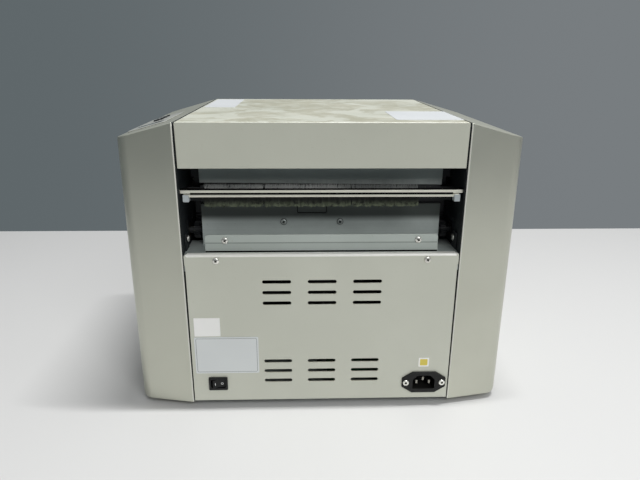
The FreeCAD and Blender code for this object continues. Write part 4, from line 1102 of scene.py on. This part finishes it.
def set_marks(name, outline, hole, place, turn, body, finish_name="mark_white"):
    """A printed mark, or a painted shade disc, whose face looks along the turn's third axis."""
    mesh = shell_of(name, lambda form: mark_form(form, outline, hole))
    mesh.transform(Matrix.Translation(place) @ turn.to_4x4())
    mesh.materials.append(finishes[finish_name])
    object_from(name, mesh, body, "label_paper")


def outward_turn(across, above):
    """Axes with the first two given; the third points out of the face."""
    across = across.normalized()
    above = above.normalized()
    return Matrix((across, above, across.cross(above))).transposed()


ROCKER_TILT = math.radians(12.0)
ROCKER_HALF = 6.6
ROCKER_NOSE = 3.2
ROCKER_VALLEY = 2.3


def mark_rocker():
    low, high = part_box("power_rocker")
    pivot_y = REAR_Y - 1.0 * MM
    middle_z = (low.z + high.z) / 2
    fall = math.atan2(ROCKER_NOSE - ROCKER_VALLEY, ROCKER_HALF)
    for side, title in ((1, "mark_on"), (-1, "mark_off")):
        reach = ROCKER_HALF * 0.56
        local = Vector((side * reach, ROCKER_VALLEY + (ROCKER_NOSE - ROCKER_VALLEY) * 0.56, 0)) * MM
        spin = Matrix.Rotation(ROCKER_TILT, 3, "Z")
        place = spin @ local + Vector((switch_pivot_x(), pivot_y, middle_z))
        along = spin @ Vector((-math.cos(fall), -side * math.sin(fall), 0))
        turn = outward_turn(along, Vector((0, 0, 1)))
        bar = [(-0.32, -1.5), (0.32, -1.5), (0.32, 1.5), (-0.32, 1.5)]
        outline = bar if side > 0 else circle_outline(1.35)
        hole = None if side > 0 else circle_outline(0.9)
        set_marks(title, outline, hole, place, turn, "rocker")


def switch_pivot_x():
    low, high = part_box("switch_housing")
    return (low.x + high.x) / 2


SOCKET_LEVEL = 0.3


def mark_inlet():
    """A painted shade disc at the bottom of each socket in the inlet's screws."""
    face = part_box("mains_inlet")[1].y
    turn = outward_turn(Vector((-1, 0, 0)), Vector((0, 0, 1)))
    sockets = [points for points in islands("panel_screws") if on_inlet(points)]
    for index, points in enumerate(sockets):
        low, high = corners_of(points)
        middle = (low + high) / 2
        place = Vector((middle.x, face + SOCKET_LEVEL * MM, middle.z))
        name = "inlet_socket_%d" % index
        set_marks(name, circle_outline(1.25), None, place, turn, "chassis", "black_plastic")


# Signs on the console's buttons: a triangle, two bars and a square
CONSOLE_SLOPE = math.atan2(16.8, 60.2)


def mark_buttons():
    across = Vector((math.cos(CONSOLE_SLOPE), 0, -math.sin(CONSOLE_SLOPE)))
    turn = outward_turn(across, Vector((0, 1, 0)))
    signs = {
        "start": [[(-1.4, -1.7), (2.0, 0.0), (-1.4, 1.7)]],
        "mode": [[(-1.6, -1.6), (-0.6, -1.6), (-0.6, 1.6), (-1.6, 1.6)],
                 [(0.6, -1.6), (1.6, -1.6), (1.6, 1.6), (0.6, 1.6)]],
        "stop": [[(-1.5, -1.5), (1.5, -1.5), (1.5, 1.5), (-1.5, 1.5)]],
    }
    for body, outlines in signs.items():
        points = [vert.co for vert in nodes[body + "_button"].data.vertices]
        way = Vector((math.sin(CONSOLE_SLOPE), 0, math.cos(CONSOLE_SLOPE)))
        top = max(point.dot(way) for point in points)
        middle = sum(points, Vector()) / len(points)
        place = middle + way * (top - middle.dot(way) - 0.01 * MM)
        for index, outline in enumerate(outlines):
            set_marks("sign_%s_%d" % (body, index), outline, None, place, turn, body)


for node, item in nodes.items():
    item.data.materials.clear()
    item.data.materials.append(finishes[looks.get(node, slot_of[node])])

set_screws()
set_brushes()
set_labels()
set_sensor_face()
set_bracket_lines()
mark_rocker()
mark_buttons()
mark_inlet()

# Camera, floor and light
CAMERA_AT = Vector((21.1 * MM, REAR_Y + 534.2 * MM, 373.8 * MM))
PITCH, YAW, ROLL = (math.radians(a) for a in (18.44, 1.99, 0.33))
FOCAL_PIXELS = 557.03
IMAGE_WIDTH = 640
SENSOR_WIDTH = 36.0


def place_camera():
    ahead = Vector(
        (-math.sin(YAW) * math.cos(PITCH), -math.cos(YAW) * math.cos(PITCH), -math.sin(PITCH))
    )
    right = Vector((-math.cos(YAW), math.sin(YAW), 0))
    above = right.cross(ahead)
    turned_right = right * math.cos(ROLL) + above * math.sin(ROLL)
    turned_up = above * math.cos(ROLL) - right * math.sin(ROLL)
    camera = new_object("camera", bpy.data.cameras.new("camera"))
    camera.data.sensor_width = SENSOR_WIDTH
    camera.data.lens = FOCAL_PIXELS * SENSOR_WIDTH / IMAGE_WIDTH
    turn = Matrix((turned_right, turned_up, -ahead)).transposed().to_4x4()
    camera.matrix_world = Matrix.Translation(CAMERA_AT) @ turn
    camera.data.clip_start = 0.02
    camera.data.clip_end = 50
    bpy.context.scene.camera = camera


def flat_finish(name, colour, roughness):
    made = bpy.data.materials.new(name)
    made.use_nodes = True
    tree = made.node_tree
    shader = tree.nodes["Principled BSDF"]
    where = add(tree, "ShaderNodeTexCoord").outputs["Object"]
    drift = noise(tree, where, 1.5, 3.0)
    first = tone(*colour)
    second = tuple(c * 0.97 for c in first[:3]) + (1.0,)
    tree.links.new(blended(tree, drift, first, second), shader.inputs["Base Color"])
    shader.inputs["Roughness"].default_value = roughness
    return made


# Edges of the table in millimetres: behind and before the rear face, and to the left and right
TABLE_FAR = 658
TABLE_NEAR = 750
TABLE_SIDES = (-1500, 900)


def lay_table():
    """The pale table, whose far edge is where the photograph has it."""
    left, right = (side * MM for side in TABLE_SIDES)
    far = REAR_Y - TABLE_FAR * MM
    near = REAR_Y + TABLE_NEAR * MM
    mesh = bpy.data.meshes.new("table")
    corners = [(left, far, 0), (right, far, 0), (right, near, 0), (left, near, 0)]
    mesh.from_pydata(corners, [], [(0, 1, 2, 3)])
    mesh.materials.append(flat_finish("table", (210, 210, 209), 0.4))
    new_object("table", mesh)


def light_room():
    """A soft room that is bright above and dark below the table, with a plain wall behind."""
    world = bpy.data.worlds.new("room")
    bpy.context.scene.world = world
    world.use_nodes = True
    tree = world.node_tree
    tree.nodes.clear()
    path = add(tree, "ShaderNodeLightPath").outputs
    way = add(tree, "ShaderNodeTexCoord").outputs["Generated"]
    parts = add(tree, "ShaderNodeSeparateXYZ", Vector=way).outputs
    lift = stepped(tree, parts["Z"], -0.1, 0.6, 0.16, 1.0)
    sides = stepped(tree, parts["X"], -0.8, 0.9, 1.15, 0.4)
    lift = maths(tree, "MULTIPLY", lift, sides)
    seen = maths(tree, "MAXIMUM", path["Is Camera Ray"], path["Is Transmission Ray"])
    seen = maths(tree, "MAXIMUM", seen, path["Is Glossy Ray"], clamp=True)
    strength = maths(tree, "MULTIPLY", lift, SOFT_LIGHT)
    soft = add(tree, "ShaderNodeBackground", Color=(0.97, 0.985, 1.0, 1.0), Strength=strength)
    sideways = stepped(tree, parts["X"], -0.5, 0.5)
    tint = blended(tree, sideways, tone(120, 125, 128), tone(95, 103, 106))
    ceiling = stepped(tree, parts["Z"], 0.42, 0.85)
    tint = blended(tree, ceiling, tint, tone(205, 208, 210))
    wall = add(tree, "ShaderNodeBackground", Color=tint, Strength=1.0)
    mixed = add(tree, "ShaderNodeMixShader")
    tree.links.new(seen, mixed.inputs[0])
    tree.links.new(soft.outputs[0], mixed.inputs[1])
    tree.links.new(wall.outputs[0], mixed.inputs[2])
    out = tree.nodes.new("ShaderNodeOutputWorld")
    tree.links.new(mixed.outputs[0], out.inputs["Surface"])
    for name, place, (width, depth), power, aimed in LAMPS:
        data = bpy.data.lights.new(name, "AREA")
        data.shape = "RECTANGLE"
        data.size = width
        data.size_y = depth
        data.energy = power
        lamp = new_object(name, data)
        lamp.location = place
        if aimed:
            aim = Vector((0, 0, 0.15)) - Vector(place)
            lamp.rotation_euler = aim.to_track_quat("-Z", "Y").to_euler()


# Strength of the soft room, and each lamp's name, place, size, power and whether it aims at the machine
SOFT_LIGHT = 0.45
LAMPS = (
    ("ceiling", (-0.38, 0.112, 2.3), (0.9, 0.05), 44.0, False),
    ("window", (-0.7, 1.9, 1.7), (1.2, 1.2), 21.0, True),
)

place_camera()
lay_table()
light_room()
bpy.context.scene.view_settings.view_transform = "Standard"
